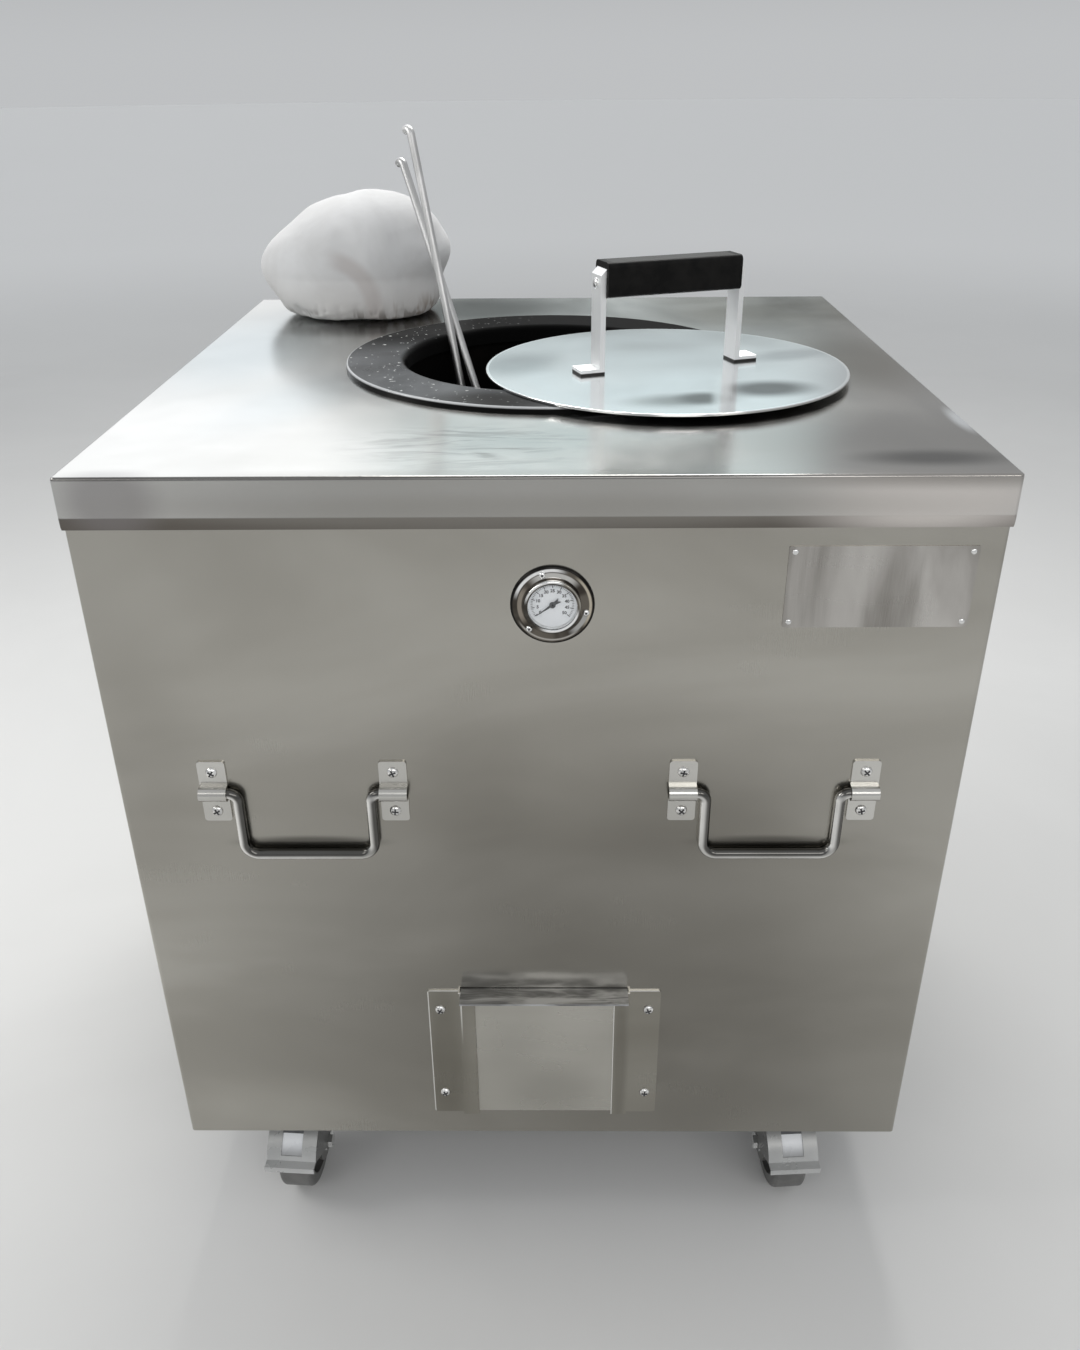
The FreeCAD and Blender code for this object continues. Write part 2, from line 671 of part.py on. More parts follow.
for x, y in bolt_spots:
    circle(sketch, x, y, "bolt_radius + screw_gap")
pocket(tray, sketch)
node("base_tray", tray)

# Corner posts: four angles standing in the tray under the cover
posts = []
post_boxes = []
for name, side, end in castor_corners:
    corner_x = f"{side} * ({tray_half_x} - tray_sheet)"
    corner_y = f"{end} * ({tray_half_y} - tray_sheet)"

    def inward_x(amount):
        return f"{corner_x} - {side} * ({amount})"

    def inward_y(amount):
        return f"{corner_y} - {end} * ({amount})"

    post = new_body(f"{name}_post")
    sketch = new_sketch(post, "XY_Plane", "tray_floor")
    outline(sketch, [
        (corner_x, corner_y), (inward_x("post_leg"), corner_y), (inward_x("post_leg"), inward_y("post_wall")),
        (inward_x("post_wall"), inward_y("post_wall")), (inward_x("post_wall"), inward_y("post_leg")),
        (corner_x, inward_y("post_leg")),
    ])
    pad(post, sketch, "under_cover - tray_floor")
    posts.append(post)
    room = new_body(f"{name}_post_room")
    sketch = new_sketch(room, "XY_Plane", "tray_floor")
    rectangle(sketch, corner_x, inward_x("post_leg + fill_gap"), corner_y, inward_y("post_leg + fill_gap"))
    pad(room, sketch, "under_cover - tray_floor")
    post_boxes.append(room)
group("corner_posts", posts)


# Hearth slab, clay pot, its packing and the grate
node("hearth_slab", cylinder("hearth_slab", "slab_radius", "slab_thick", "mouth_x", "mouth_y", "tray_floor"))
slab_room = cylinder("slab_room", "slab_radius + fill_gap", "slab_thick", "mouth_x", "mouth_y", "tray_floor")
pot = new_body("clay_pot")
sketch = new_sketch(pot, "XZ_Plane")
outline(sketch, [
    ("pot_foot", "slab_top"), ("pot_outer", "slab_top"), ("pot_outer", "grate_seat"),
    ("pot_mouth + pot_wall", "pot_top"), ("pot_mouth", "pot_top"),
    ("pot_ledge", "grate_seat"), ("pot_foot", "grate_seat"),
], bends={2: ("pot_bow", -1), 4: ("pot_bow", 1)})
turn(pot, sketch)
sketch = new_sketch(pot, "XZ_Plane")
rectangle(
    sketch, "ash_x - mouth_x - throat_half - throat_gap", "ash_x - mouth_x + throat_half + throat_gap",
    "slab_top - throat_gap", "throat_top + throat_gap",
)
pocket(pot, sketch, backwards=True)
node("clay_pot", put(pot, "mouth_x", "mouth_y"))

throat_end = "mouth_y - pot_foot - throat_gap"
throat_shell = box(
    "throat_shell", "ash_x - throat_half", "ash_x + throat_half", "front + panel_sheet", throat_end,
    "slab_top", "throat_top",
)
throat_way = box(
    "throat_way", "ash_x - ash_width / 2", "ash_x + ash_width / 2", "front", "mouth_y",
    "ash_floor", "ash_top",
)
node("ash_throat", cut("ash_throat", throat_shell, throat_way))

pot_room = new_body("pot_room")
sketch = new_sketch(pot_room, "XZ_Plane")
outline(sketch, [
    ("0", "slab_top"), ("pot_outer + fill_gap", "slab_top"), ("pot_outer + fill_gap", "grate_seat"),
    ("pot_mouth + pot_wall + fill_gap", "pot_top"), ("pot_mouth + pot_wall + fill_gap", "top"), ("0", "top"),
], bends={2: ("pot_bow", -1)})
turn(pot_room, sketch)
put(pot_room, "mouth_x", "mouth_y")
throat_room = box(
    "throat_room", "ash_x - throat_half - fill_gap", "ash_x + throat_half + fill_gap", "front", "mouth_y",
    "slab_top", "throat_top + fill_gap",
)
inward = Rotation(Vector(1, 0, 0), -90)
stem_room = cylinder("stem_room", "stem_radius + stem_gap", "case_sink + stem_length + stem_gap")
put(stem_room, "gauge_x", "front", "gauge_z", inward)
case_room = cylinder("case_room", "case_radius + case_gap", "case_sink + case_gap")
put(case_room, "gauge_x", "front", "gauge_z", inward)
fill_block = box(
    "fill_block", f"-{tray_half_x} + tray_sheet", f"{tray_half_x} - tray_sheet",
    f"-{tray_half_y} + tray_sheet", f"{tray_half_y} - tray_sheet", "tray_floor", "top - fill_drop",
)
bolt_rooms = [
    cylinder(f"bolt_room_{at}", "bolt_head + fill_gap", "bolt_head_thick + fill_gap", x, y, "tray_floor")
    for at, (x, y) in enumerate(bolt_spots)
]
rooms = fuse("fill_rooms", [slab_room, pot_room, throat_room, stem_room, case_room] + post_boxes + bolt_rooms)
node("insulation_fill", cut("insulation_fill", fill_block, rooms))

grate = new_body("fire_grate")
sketch = new_sketch(grate, "XY_Plane")
circle(sketch, "0", "0", "pot_ledge - grate_gap")
pad(grate, sketch, "grate_thick")
sketch = new_sketch(grate, "XY_Plane")
first_slot = "-(slot_count - 1) * slot_pitch / 2"
rectangle(
    sketch, f"{first_slot} - slot_width / 2", f"{first_slot} + slot_width / 2",
    "-slot_length / 2", "slot_length / 2",
)
slot = pocket(grate, sketch, backwards=True)
slots = grate.newObject("PartDesign::LinearPattern", "grate_slots")
slots.Originals = [slot]
slots.Direction = (sketch, ["H_Axis"])
bind(slots, Length="(slot_count - 1) * slot_pitch", Occurrences="slot_count")
grate.Tip = slots
node("fire_grate", put(grate, "mouth_x", "mouth_y", "grate_seat"))

# Cast mouth ring: a flange on the cover and a collar down to the pot's rim
ring = new_body("mouth_ring")
sketch = new_sketch(ring, "XZ_Plane")
collar_outer = "mouth_radius + collar_wall"
outline(sketch, [
    ("mouth_radius", "pot_top"), (collar_outer, "pot_top"), (collar_outer, "top"), ("ring_radius", "top"),
    ("ring_radius", "ring_top - ring_edge"), ("ring_radius - ring_edge", "ring_top"),
    ("mouth_radius + ring_lip", "ring_top"), ("mouth_radius", "ring_top - ring_lip"),
], bends={4: ("ring_edge", -1), 6: ("ring_lip", -1)})
turn(ring, sketch)
node("mouth_ring", put(ring, "mouth_x", "mouth_y"))

# Ash door and its two folded guides
for name, side in handle_sides:
    def beside(amount):
        return f"ash_x + {side} * ({amount})"

    wall = "channel + guide_sheet"
    edge_x = f"{wall} + guide_flange"
    guide = new_body(f"{name}_door_guide")
    sketch = new_sketch(guide, "XY_Plane", "guide_end")
    outline(sketch, [
        (beside("channel"), "front"), (beside(edge_x), "front"), (beside(edge_x), "front - guide_sheet"),
        (beside(wall), "front - guide_sheet"), (beside(wall), "front - guide_step"),
        (beside("channel - guide_lip"), "front - guide_step"),
        (beside("channel - guide_lip"), "front - guide_step + guide_sheet"),
        (beside("channel"), "front - guide_step + guide_sheet"),
    ])
    pad(guide, sketch, "guide_height")

    def flange_corner(edge):
        return runs(edge, Vector(0, 1, 0)) and near(edge.CenterOfMass.x, beside(edge_x))

    fillet(guide, "guide_corner", flange_corner)
    sketch = new_sketch(guide, "XZ_Plane")
    for x, z in guide_spots[:2] if name == "left" else guide_spots[2:]:
        circle(sketch, x, z, "screw_radius + screw_gap")
    pocket(guide, sketch, backwards=True)
    node(f"{name}_door_guide", guide)

door = new_body("ash_door")
sketch = new_sketch(door, "YZ_Plane")
door_back = "front - door_play"
door_face = "front - door_play - door_sheet"
shelf_low = "guide_top + seat_gap"
outline(sketch, [
    (door_back, "guide_end + door_low"), (door_face, "guide_end + door_low"), (door_face, shelf_low),
    (f"{door_back} - door_shelf", shelf_low), (f"{door_back} - door_shelf", f"{shelf_low} + door_sheet"),
    (door_back, f"{shelf_low} + door_sheet"),
])
pad(door, sketch, "door_width", symmetric=True)
node("ash_door", put(door, "ash_x"))


# Screws and rivets of the front panel, each group one node
def panel_screws(label, spots, seat, kind):
    made = []
    for at, (x, z) in enumerate(spots):
        one = screw(f"{label}_{at}", f"{kind}_radius", f"{kind}_head", f"{kind}_dome", f"{seat} + screw_tail")
        made.append(put(one, x, f"front - ({seat})", z, outward))
    group(label, made)


panel_screws("door_guide_screws", guide_spots, "guide_sheet", "screw")
panel_screws("gauge_screws", flange_spots, "flange_thick", "stud")
panel_screws("handle_screws", strap_spots, "strap_sheet", "screw")
panel_screws("name_plate_rivets", plate_spots, "plate_thick", "rivet")

# Name plate, left bare
plate = new_body("name_plate")
sketch = new_sketch(plate, "XZ_Plane", "-front")
rectangle(
    sketch, "plate_x - plate_width / 2", "plate_x + plate_width / 2",
    "plate_z - plate_height / 2", "plate_z + plate_height / 2",
)
pad(plate, sketch, "plate_thick")
fillet(plate, "plate_corner", lambda edge: runs(edge, Vector(0, 1, 0)))
sketch = new_sketch(plate, "XZ_Plane")
for x, z in plate_spots:
    circle(sketch, x, z, "rivet_radius + screw_gap")
pocket(plate, sketch, backwards=True)
node("name_plate", plate)


# Gauge pieces are drawn with their axis along Z and stand out of the panel
def gauge_piece(label, body):
    return node(label, put(body, "gauge_x", "front + case_sink", "gauge_z", outward))


flange = new_body("gauge_flange")
sketch = new_sketch(flange, "XY_Plane")
circle(sketch, "0", "0", "flange_radius")
circle(sketch, "0", "0", "case_radius + bezel_gap")
for step in (0, 120, 240):
    circle(
        sketch, f"flange_screws * cos(flange_turn + {step})", f"flange_screws * sin(flange_turn + {step})",
        "stud_radius + screw_gap",
    )
pad(flange, sketch, "flange_thick")


def flange_rim(edge):
    centre = edge.CenterOfMass
    whole = isinstance(edge.Curve, Part.Circle) and near(edge.Curve.Radius, "flange_radius")
    return whole and near(centre.z, "flange_thick")


fillet(flange, "flange_round", flange_rim)
node("gauge_flange", put(flange, "gauge_x", "front", "gauge_z", outward))

case = new_body("gauge_case")
sketch = new_sketch(case, "XZ_Plane")
outline(sketch, [
    ("0", "-stem_length"), ("stem_radius", "-stem_length"), ("stem_radius", "0"), ("case_radius", "0"),
    ("case_radius", "case_rise"), ("case_bore", "case_rise"), ("case_bore", "dial_seat"),
    ("case_bore - dial_ledge", "dial_seat"), ("case_bore - dial_ledge", "case_floor"),
    ("pivot_radius", "case_floor"), ("pivot_radius", "pivot_top"),
    ("0", "pivot_top"),
])
turn(case, sketch)
gauge_piece("gauge_case", case)

dial = new_body("gauge_dial")
sketch = new_sketch(dial, "XY_Plane", "dial_seat")
circle(sketch, "0", "0", "case_bore - dial_gap")
circle(sketch, "0", "0", "pivot_radius + dial_gap")
pad(dial, sketch, "dial_thick")
gauge_piece("gauge_dial", dial)

pointer = new_body("gauge_pointer")
sketch = new_sketch(pointer, "XY_Plane", "pointer_low")
outline(sketch, [
    ("pointer_reach", "0"), ("0", "pointer_width / 2"), ("-pointer_tail", "pointer_width"),
    ("-pointer_tail * 0.7", "0"), ("-pointer_tail", "-pointer_width"), ("0", "-pointer_width / 2"),
])
pad(pointer, sketch, "pointer_thick")
sketch = new_sketch(pointer, "XY_Plane", "pointer_low")
circle(sketch, "0", "0", "pointer_hub")
pad(pointer, sketch, "1.6 * pointer_thick")
sketch = new_sketch(pointer, "XY_Plane", "pointer_low")
circle(sketch, "0", "0", "pivot_radius + pivot_gap")
pocket(pointer, sketch, backwards=True)
aim = outward.multiply(Rotation(Vector(0, 0, 1), number("pointer_rest")))
node("gauge_pointer", put(pointer, "gauge_x", "front + case_sink", "gauge_z", aim))

lens = new_body("gauge_lens")
sketch = new_sketch(lens, "XY_Plane", "case_rise")
circle(sketch, "0", "0", "case_radius - lens_inset")
pad(lens, sketch, "lens_thick")
gauge_piece("gauge_lens", lens)

bezel = new_body("gauge_bezel")
sketch = new_sketch(bezel, "XZ_Plane")
bezel_low = "flange_thick + case_sink + bezel_gap"
bezel_under = "case_rise + lens_thick + bezel_gap"
bezel_top = f"{bezel_under} + bezel_front"
outline(sketch, [
    ("bezel_bore", bezel_low), ("bezel_outer", bezel_low),
    ("bezel_outer", f"{bezel_top} - bezel_wall"), ("bezel_outer - bezel_wall", bezel_top),
    ("bezel_outer - bezel_lip", bezel_top), ("bezel_outer - bezel_lip", bezel_under),
    ("bezel_bore", bezel_under),
], bends={2: ("bezel_wall", -1)})
turn(bezel, sketch)
gauge_piece("gauge_bezel", bezel)

# Handles: a bail swinging in two arched straps
arch = "bail_radius + bail_gap"
arch_outer = "bail_radius + bail_gap + strap_sheet"
strap_half = "strap_height / 2"
for name, side in handle_sides:
    straps = []
    for end, where in (("-1", "first"), ("1", "second")):
        strap = new_body(f"{name}_{where}_strap")
        sketch = new_sketch(strap, "YZ_Plane")
        outline(sketch, [
            ("0", f"-({strap_half})"), ("-strap_sheet", f"-({strap_half})"),
            ("-strap_sheet", f"-({arch_outer})"),
            ("-bail_out", f"-({arch_outer})"), (f"-bail_out - ({arch_outer})", "0"),
            ("-bail_out", arch_outer), ("-strap_sheet", arch_outer), ("-strap_sheet", strap_half),
            ("0", strap_half), ("0", arch), ("-bail_out", arch), (f"-bail_out - ({arch})", "0"),
            ("-bail_out", f"-({arch})"), ("0", f"-({arch})"),
        ], bends={3: (arch_outer, 1), 4: (arch_outer, 1), 10: (arch, -1), 11: (arch, -1)})
        pad(strap, sketch, "strap_width", symmetric=True)

        def strap_end(edge):
            return runs(edge, Vector(0, 1, 0)) and near(abs(edge.CenterOfMass.z), strap_half)

        fillet(strap, "strap_corner", strap_end)
        sketch = new_sketch(strap, "XZ_Plane")
        for level in ("-1", "1"):
            circle(sketch, "0", f"{level} * strap_screw", "screw_radius + screw_gap")
        pocket(strap, sketch, backwards=True)
        straps.append(put(strap, f"{side} * handle_x + {end} * strap_apart", "front", "handle_z"))
    group(f"{name}_handle_straps", straps)
    bail = new_body(f"{name}_handle_bail")
    path = new_sketch(bail, "XZ_Plane")
    bail_tip = "(strap_apart + strap_width / 2 - bail_end)"
    outline(path, [
        (f"-{bail_tip}", "0"), ("-bail_arm - bail_top_bend", "0"), ("-bail_arm", "-bail_top_bend"),
        ("-bail_arm", "-bail_drop + bail_low_bend"), ("-bail_arm + bail_low_bend", "-bail_drop"),
        ("bail_arm - bail_low_bend", "-bail_drop"), ("bail_arm", "-bail_drop + bail_low_bend"),
        ("bail_arm", "-bail_top_bend"), ("bail_arm + bail_top_bend", "0"), (bail_tip, "0"),
    ], bends={
        1: ("bail_top_bend", 1), 3: ("bail_low_bend", -1), 5: ("bail_low_bend", -1), 7: ("bail_top_bend", 1),
    }, closed=False)
    section = new_sketch(bail, "YZ_Plane", f"-{bail_tip}")
    circle(section, "0", "0", "bail_radius")
    pipe(bail, section, path)
    node(f"{name}_handle_bail", put(bail, f"{side} * handle_x", "front - bail_out", "handle_z"))

# Lid: a flat disc with a bent strap and a grip under the strap's top
lid_rotation = Rotation(Vector(0, 0, 1), number("lid_turn"))
leg_outer = "grip_half + bar_thick"
inner_corner = "(bar_corner - bar_thick * (2 - sqrt(2)))"
bar = new_body("lid_strap")
sketch = new_sketch(bar, "XZ_Plane")
bar_side = [
    (f"{leg_outer} + bar_foot", "0"), (f"{leg_outer} + bar_foot", "bar_thick"), (leg_outer, "bar_thick"),
    (leg_outer, "bar_rise - bar_corner"), (f"{leg_outer} - bar_corner", "bar_rise"),
]
bar_inside = [
    (f"grip_half - {inner_corner}", "bar_rise - bar_thick"),
    ("grip_half", f"bar_rise - bar_thick - {inner_corner}"),
    ("grip_half", "0"),
]
mirrored = [(f"-({x})", z) for x, z in bar_side]
mirrored_inside = [(f"-({x})", z) for x, z in bar_inside]
outline(sketch, bar_side + mirrored[::-1] + mirrored_inside[::-1] + bar_inside)
pad(bar, sketch, "bar_width", symmetric=True)
sketch = new_sketch(bar, "YZ_Plane")
circle(sketch, "0", "bar_rise - grip_screw_drop", "screw_radius + screw_gap")
pocket(bar, sketch, symmetric=True)
node("lid_strap", put(bar, "lid_x", "lid_y", "lid_top", lid_rotation))

disc = new_body("lid_disc")
sketch = new_sketch(disc, "XY_Plane")
circle(sketch, "0", "0", "lid_radius")
pad(disc, sketch, "lid_thick")


def disc_rim(edge):
    return isinstance(edge.Curve, Part.Circle) and near(edge.Curve.Radius, "lid_radius")


fillet(disc, "lid_edge", disc_rim)
node("lid_disc", put(disc, "lid_x", "lid_y", "lid_low", lid_rotation))

grip_block = new_body("grip_block")
sketch = new_sketch(grip_block, "YZ_Plane")
rectangle(sketch, "-grip_deep / 2", "grip_deep / 2", "bar_rise - grip_tall", "bar_rise")
pad(grip_block, sketch, "2 * (grip_half - seat_gap)", symmetric=True)
fillet(grip_block, "grip_round", lambda edge: runs(edge, Vector(1, 0, 0)))
put(grip_block, "lid_x", "lid_y", "lid_top", lid_rotation)
grip_ways = []
grip_screws = []
for name, side in handle_sides:
    outward_x = Rotation(Vector(0, 1, 0), 90 * int(side))
    way = cylinder(f"{name}_grip_way", "screw_radius + screw_gap", "grip_screw_reach + screw_gap")
    way_spot = f"{side} * (grip_half - grip_screw_reach - screw_gap)"
    put(way, way_spot, "0", "bar_rise - grip_screw_drop", outward_x)
    grip_ways.append(way)
    one = screw(
        f"{name}_grip_screw", "screw_radius", "screw_head", "screw_dome", "bar_thick + grip_screw_reach",
    )
    grip_screws.append(put(one, f"{side} * ({leg_outer})", "0", "bar_rise - grip_screw_drop", outward_x))
grip_holes = fuse("grip_holes", grip_ways)
put(grip_holes, "lid_x", "lid_y", "lid_top", lid_rotation)
node("lid_grip", cut("lid_grip", cut("grip_body", grip_block, bar), grip_holes))
put(group("lid_grip_screws", grip_screws), "lid_x", "lid_y", "lid_top", lid_rotation)

# Castors: bolted plate with kingpin, swivelling fork, axle, wheel, and a brake pedal on the front pair
bolts = []
for corner, side, end in castor_corners:
    spot = (f"{side} * castor_x", f"{end} * castor_y")
    if end == "-1":
        spin = Rotation(Vector(0, 0, 1), int(side) * number("castor_turn"))
        axle_x = f"{spot[0]} + {side} * castor_trail * sin(castor_turn)"
        axle_spot = (axle_x, f"{spot[1]} - castor_trail * cos(castor_turn)", "wheel_radius")
        half_axle = "(fork_half + fork_leg + pedal_side + pedal_sheet + seat_gap)"
    else:
        spin = Rotation(Vector(0, 0, 1), 180)
        axle_spot = (spot[0], f"{spot[1]} + castor_trail", "wheel_radius")
        half_axle = "(fork_half + fork_leg + seat_gap)"
    crossways = spin.multiply(sideways)

    plate = new_body(f"{corner}_castor_plate")
    sketch = new_sketch(plate, "XY_Plane", "castor_rise - mount_plate_thick")
    rectangle(sketch, "-mount_plate_x / 2", "mount_plate_x / 2", "-mount_plate_y / 2", "mount_plate_y / 2")
    pad(plate, sketch, "mount_plate_thick")
    fillet(plate, "mount_plate_corner", lambda edge: runs(edge, Vector(0, 0, 1)))
    sketch = new_sketch(plate, "XY_Plane", "castor_rise")
    for across in ("-1", "1"):
        for along in ("-1", "1"):
            circle(sketch, f"{across} * bolt_x / 2", f"{along} * bolt_y / 2", "bolt_radius + screw_gap")
    pocket(plate, sketch)
    sketch = new_sketch(plate, "XZ_Plane")
    outline(sketch, [
        ("0", "king_low"), ("king_head", "king_low"),
        ("king_head", "king_seat"), ("king_radius", "king_seat"),
        ("king_radius", "castor_rise - mount_plate_thick / 2"), ("0", "castor_rise - mount_plate_thick / 2"),
    ])
    turn(plate, sketch)
    node(f"{corner}_castor_plate", put(plate, spot[0], spot[1]))

    fork = new_body(f"{corner}_fork")
    sketch = new_sketch(fork, "XZ_Plane")
    king_bore = "king_radius + axle_gap"
    outline(sketch, [
        (king_bore, "crown_low"), ("crown_radius - crown_round", "crown_low"),
        ("crown_radius", "crown_low + crown_round"), ("crown_radius", "crown_top"), (king_bore, "crown_top"),
    ], bends={1: ("crown_round", -1)})
    turn(fork, sketch)
    sketch = new_sketch(fork, "YZ_Plane")
    outline(sketch, [
        ("fork_back", "crown_low + crown_round"), ("-fork_front", "crown_low + crown_round"),
        ("-castor_trail - fork_boss", "wheel_radius"), ("-castor_trail", "wheel_radius - fork_boss"),
        ("-castor_trail + fork_boss", "wheel_radius"),
    ], bends={2: ("fork_boss", -1), 3: ("fork_boss", -1)})
    pad(fork, sketch, "2 * (fork_half + fork_leg)", symmetric=True)
    sketch = new_sketch(fork, "YZ_Plane")
    rectangle(
        sketch, "-castor_trail - 2 * fork_boss", "2 * fork_back",
        "wheel_radius - 2 * fork_boss", "crown_low",
    )
    pocket(fork, sketch, "2 * fork_half", symmetric=True)
    sketch = new_sketch(fork, "YZ_Plane")
    circle(sketch, "-castor_trail", "wheel_radius", "axle_radius + axle_gap")
    pocket(fork, sketch, symmetric=True)
    sketch = new_sketch(fork, "XY_Plane", "crown_top")
    circle(sketch, "0", "0", king_bore)
    pocket(fork, sketch)
    node(f"{corner}_fork", put(fork, spot[0], spot[1], "0", spin))

    shaft = cylinder(f"{corner}_shaft", "axle_radius", f"2 * {half_axle}", z=f"-{half_axle}")
    head = hexagon(f"{corner}_axle_head", "axle_head", "axle_head_thick", half_axle)
    nut = hexagon(f"{corner}_axle_nut", "axle_head", "axle_head_thick", f"-{half_axle} - axle_head_thick")
    axle = fuse(f"{corner}_axle", [shaft, head, nut])
    node(f"{corner}_axle", put(axle, *axle_spot, crossways))

    wheel = new_body(f"{corner}_wheel")
    sketch = new_sketch(wheel, "XZ_Plane")
    rim = "wheel_radius - rim_depth"
    half = "wheel_width / 2"
    bore = "axle_radius + axle_gap"
    outline(sketch, [
        (bore, "-hub_half"), ("hub_radius", "-hub_half"), ("hub_radius", "-web_half"), (rim, "-web_half"),
        (rim, f"-{half}"), ("wheel_radius - wheel_round", f"-{half}"),
        ("wheel_radius", f"-{half} + wheel_round"),
        ("wheel_radius", f"{half} - wheel_round"), ("wheel_radius - wheel_round", half), (rim, half),
        (rim, "web_half"), ("hub_radius", "web_half"), ("hub_radius", "hub_half"), (bore, "hub_half"),
    ], bends={5: ("wheel_round", -1), 7: ("wheel_round", -1)})
    turn(wheel, sketch)
    node(f"{corner}_wheel", put(wheel, *axle_spot, crossways))

    for across in ("-1", "1"):
        for along in ("-1", "1"):
            where = f"{corner}_bolt_{len(bolts)}"
            low = "castor_rise - mount_plate_thick"
            shank = cylinder(where + "_shank", "bolt_radius", "mount_plate_thick + tray_sheet")
            head = hexagon(where + "_head", "bolt_head", "bolt_head_thick", "-bolt_head_thick")
            nut = hexagon(where + "_nut", "bolt_head", "bolt_head_thick", "mount_plate_thick + tray_sheet")
            bolt = fuse(where, [shank, head, nut])
            bolt_x = f"{spot[0]} + {across} * bolt_x / 2"
            bolt_y = f"{spot[1]} + {along} * bolt_y / 2"
            bolts.append(put(bolt, bolt_x, bolt_y, low))

    if end == "1":
        continue
    # The pedal is a curved cover over the tread, hung from the axle by an ear on each side
    pedal = new_body(f"{corner}_pedal")
    cover_in = "(wheel_radius + pedal_gap)"
    cover_out = "(wheel_radius + pedal_gap + pedal_sheet)"

    def polar(radius, angle):
        return (f"-{radius} * cos({angle})", f"{radius} * sin({angle})")

    low_in = polar(cover_in, "pedal_low")
    low_out = polar(cover_out, "pedal_low")
    high_in = polar(cover_in, "pedal_high")
    high_out = polar(cover_out, "pedal_high")
    lip_x = f"{low_out[0]} - pedal_lip"
    lip_low = f"{low_out[1]} - pedal_sheet"
    fold_low = f"{low_out[1]} - pedal_fold"
    sketch = new_sketch(pedal, "YZ_Plane")
    outline(sketch, [
        high_out, low_out, (lip_x, low_out[1]), (lip_x, fold_low), (f"{lip_x} + pedal_sheet", fold_low),
        (f"{lip_x} + pedal_sheet", lip_low), (low_in[0], lip_low),
        ("-pedal_boss", "0"), ("0", "-pedal_boss"), ("pedal_boss", "0"),
    ], bends={0: (cover_out, -1), 7: ("pedal_boss", -1), 8: ("pedal_boss", -1)})
    pad(pedal, sketch, "2 * (fork_half + fork_leg + pedal_side + pedal_sheet)", symmetric=True)
    sketch = new_sketch(pedal, "YZ_Plane")
    outline(sketch, [
        high_in, low_in, (low_in[0], "-2 * pedal_boss"), ("2 * pedal_boss", "-2 * pedal_boss"),
        ("2 * pedal_boss", high_out[1]), polar(cover_out, "90"),
    ], bends={0: (cover_in, -1)})
    pocket(pedal, sketch, "2 * (fork_half + fork_leg + pedal_side)", symmetric=True)
    sketch = new_sketch(pedal, "YZ_Plane")
    circle(sketch, "0", "0", "axle_radius + axle_gap")
    pocket(pedal, sketch, symmetric=True)
    sketch = new_sketch(pedal, "XZ_Plane")
    window = [polar(cover_out, angle)[1] for angle in ("window_start", "window_stop")]
    rectangle(sketch, "-window_width / 2", "window_width / 2", *window)
    pocket(pedal, sketch, backwards=True)
    node(f"{corner}_pedal", put(pedal, *axle_spot, spin))

    # A moulded insert fills the window, a step below the pedal's face
    insert_out = f"({cover_out} - insert_sink)"
    insert_in = f"({cover_out} - insert_sink - insert_thick)"

    def on_arc(radius, level):
        return (f"-sqrt({radius} ^ 2 - ({level}) ^ 2)", level)

    insert = new_body(f"{corner}_pedal_insert")
    sketch = new_sketch(insert, "YZ_Plane")
    outline(sketch, [
        on_arc(insert_out, window[1]), on_arc(insert_out, window[0]),
        on_arc(insert_in, window[0]), on_arc(insert_in, window[1]),
    ], bends={0: (insert_out, -1), 2: (insert_in, 1)})
    pad(insert, sketch, "window_width", symmetric=True)
    node(f"{corner}_pedal_insert", put(insert, *axle_spot, spin))
group("castor_bolts", bolts)

# Bread pad: a stuffed cushion, drawn in at its gathered underside and crowned off centre.
# Each level: height, breadth and depth as shares of the pad's own, and the shift towards the crown.
pad_levels = [
    (0.0, 0.62, 0.86, 0.25), (0.07, 0.79, 0.96, 0.20), (0.22, 0.94, 1.0, 0.05), (0.42, 1.0, 1.0, 0.0),
    (0.58, 0.96, 0.95, 0.10), (0.75, 0.80, 0.80, 0.40), (0.89, 0.54, 0.56, 0.80), (0.97, 0.28, 0.30, 1.0),
    (1.0, 0.10, 0.10, 1.0),
]
eighth = math.pi / 4
rings = []
for height, breadth, depth, shift in pad_levels:
    half_x = number("pad_width") / 2 * breadth
    half_y = number("pad_depth") / 2 * depth
    centre_x = number("pad_peak") * shift
    level_z = number("pad_height") * height

    def spot(angle):
        return Vector(centre_x + half_x * math.cos(angle), half_y * math.sin(angle), level_z)

    arcs = [
        Part.Arc(spot(step * eighth), spot((step + 0.5) * eighth), spot((step + 1) * eighth)).toShape()
        for step in range(8)
    ]
    rings.append(Part.Wire(arcs))
cushion = doc.addObject("Part::Feature", "bread_pad")
cushion.Shape = Part.makeLoft(rings, True, False)
node("bread_pad", put(cushion, "pad_x", "pad_y", "top + seat_gap"))


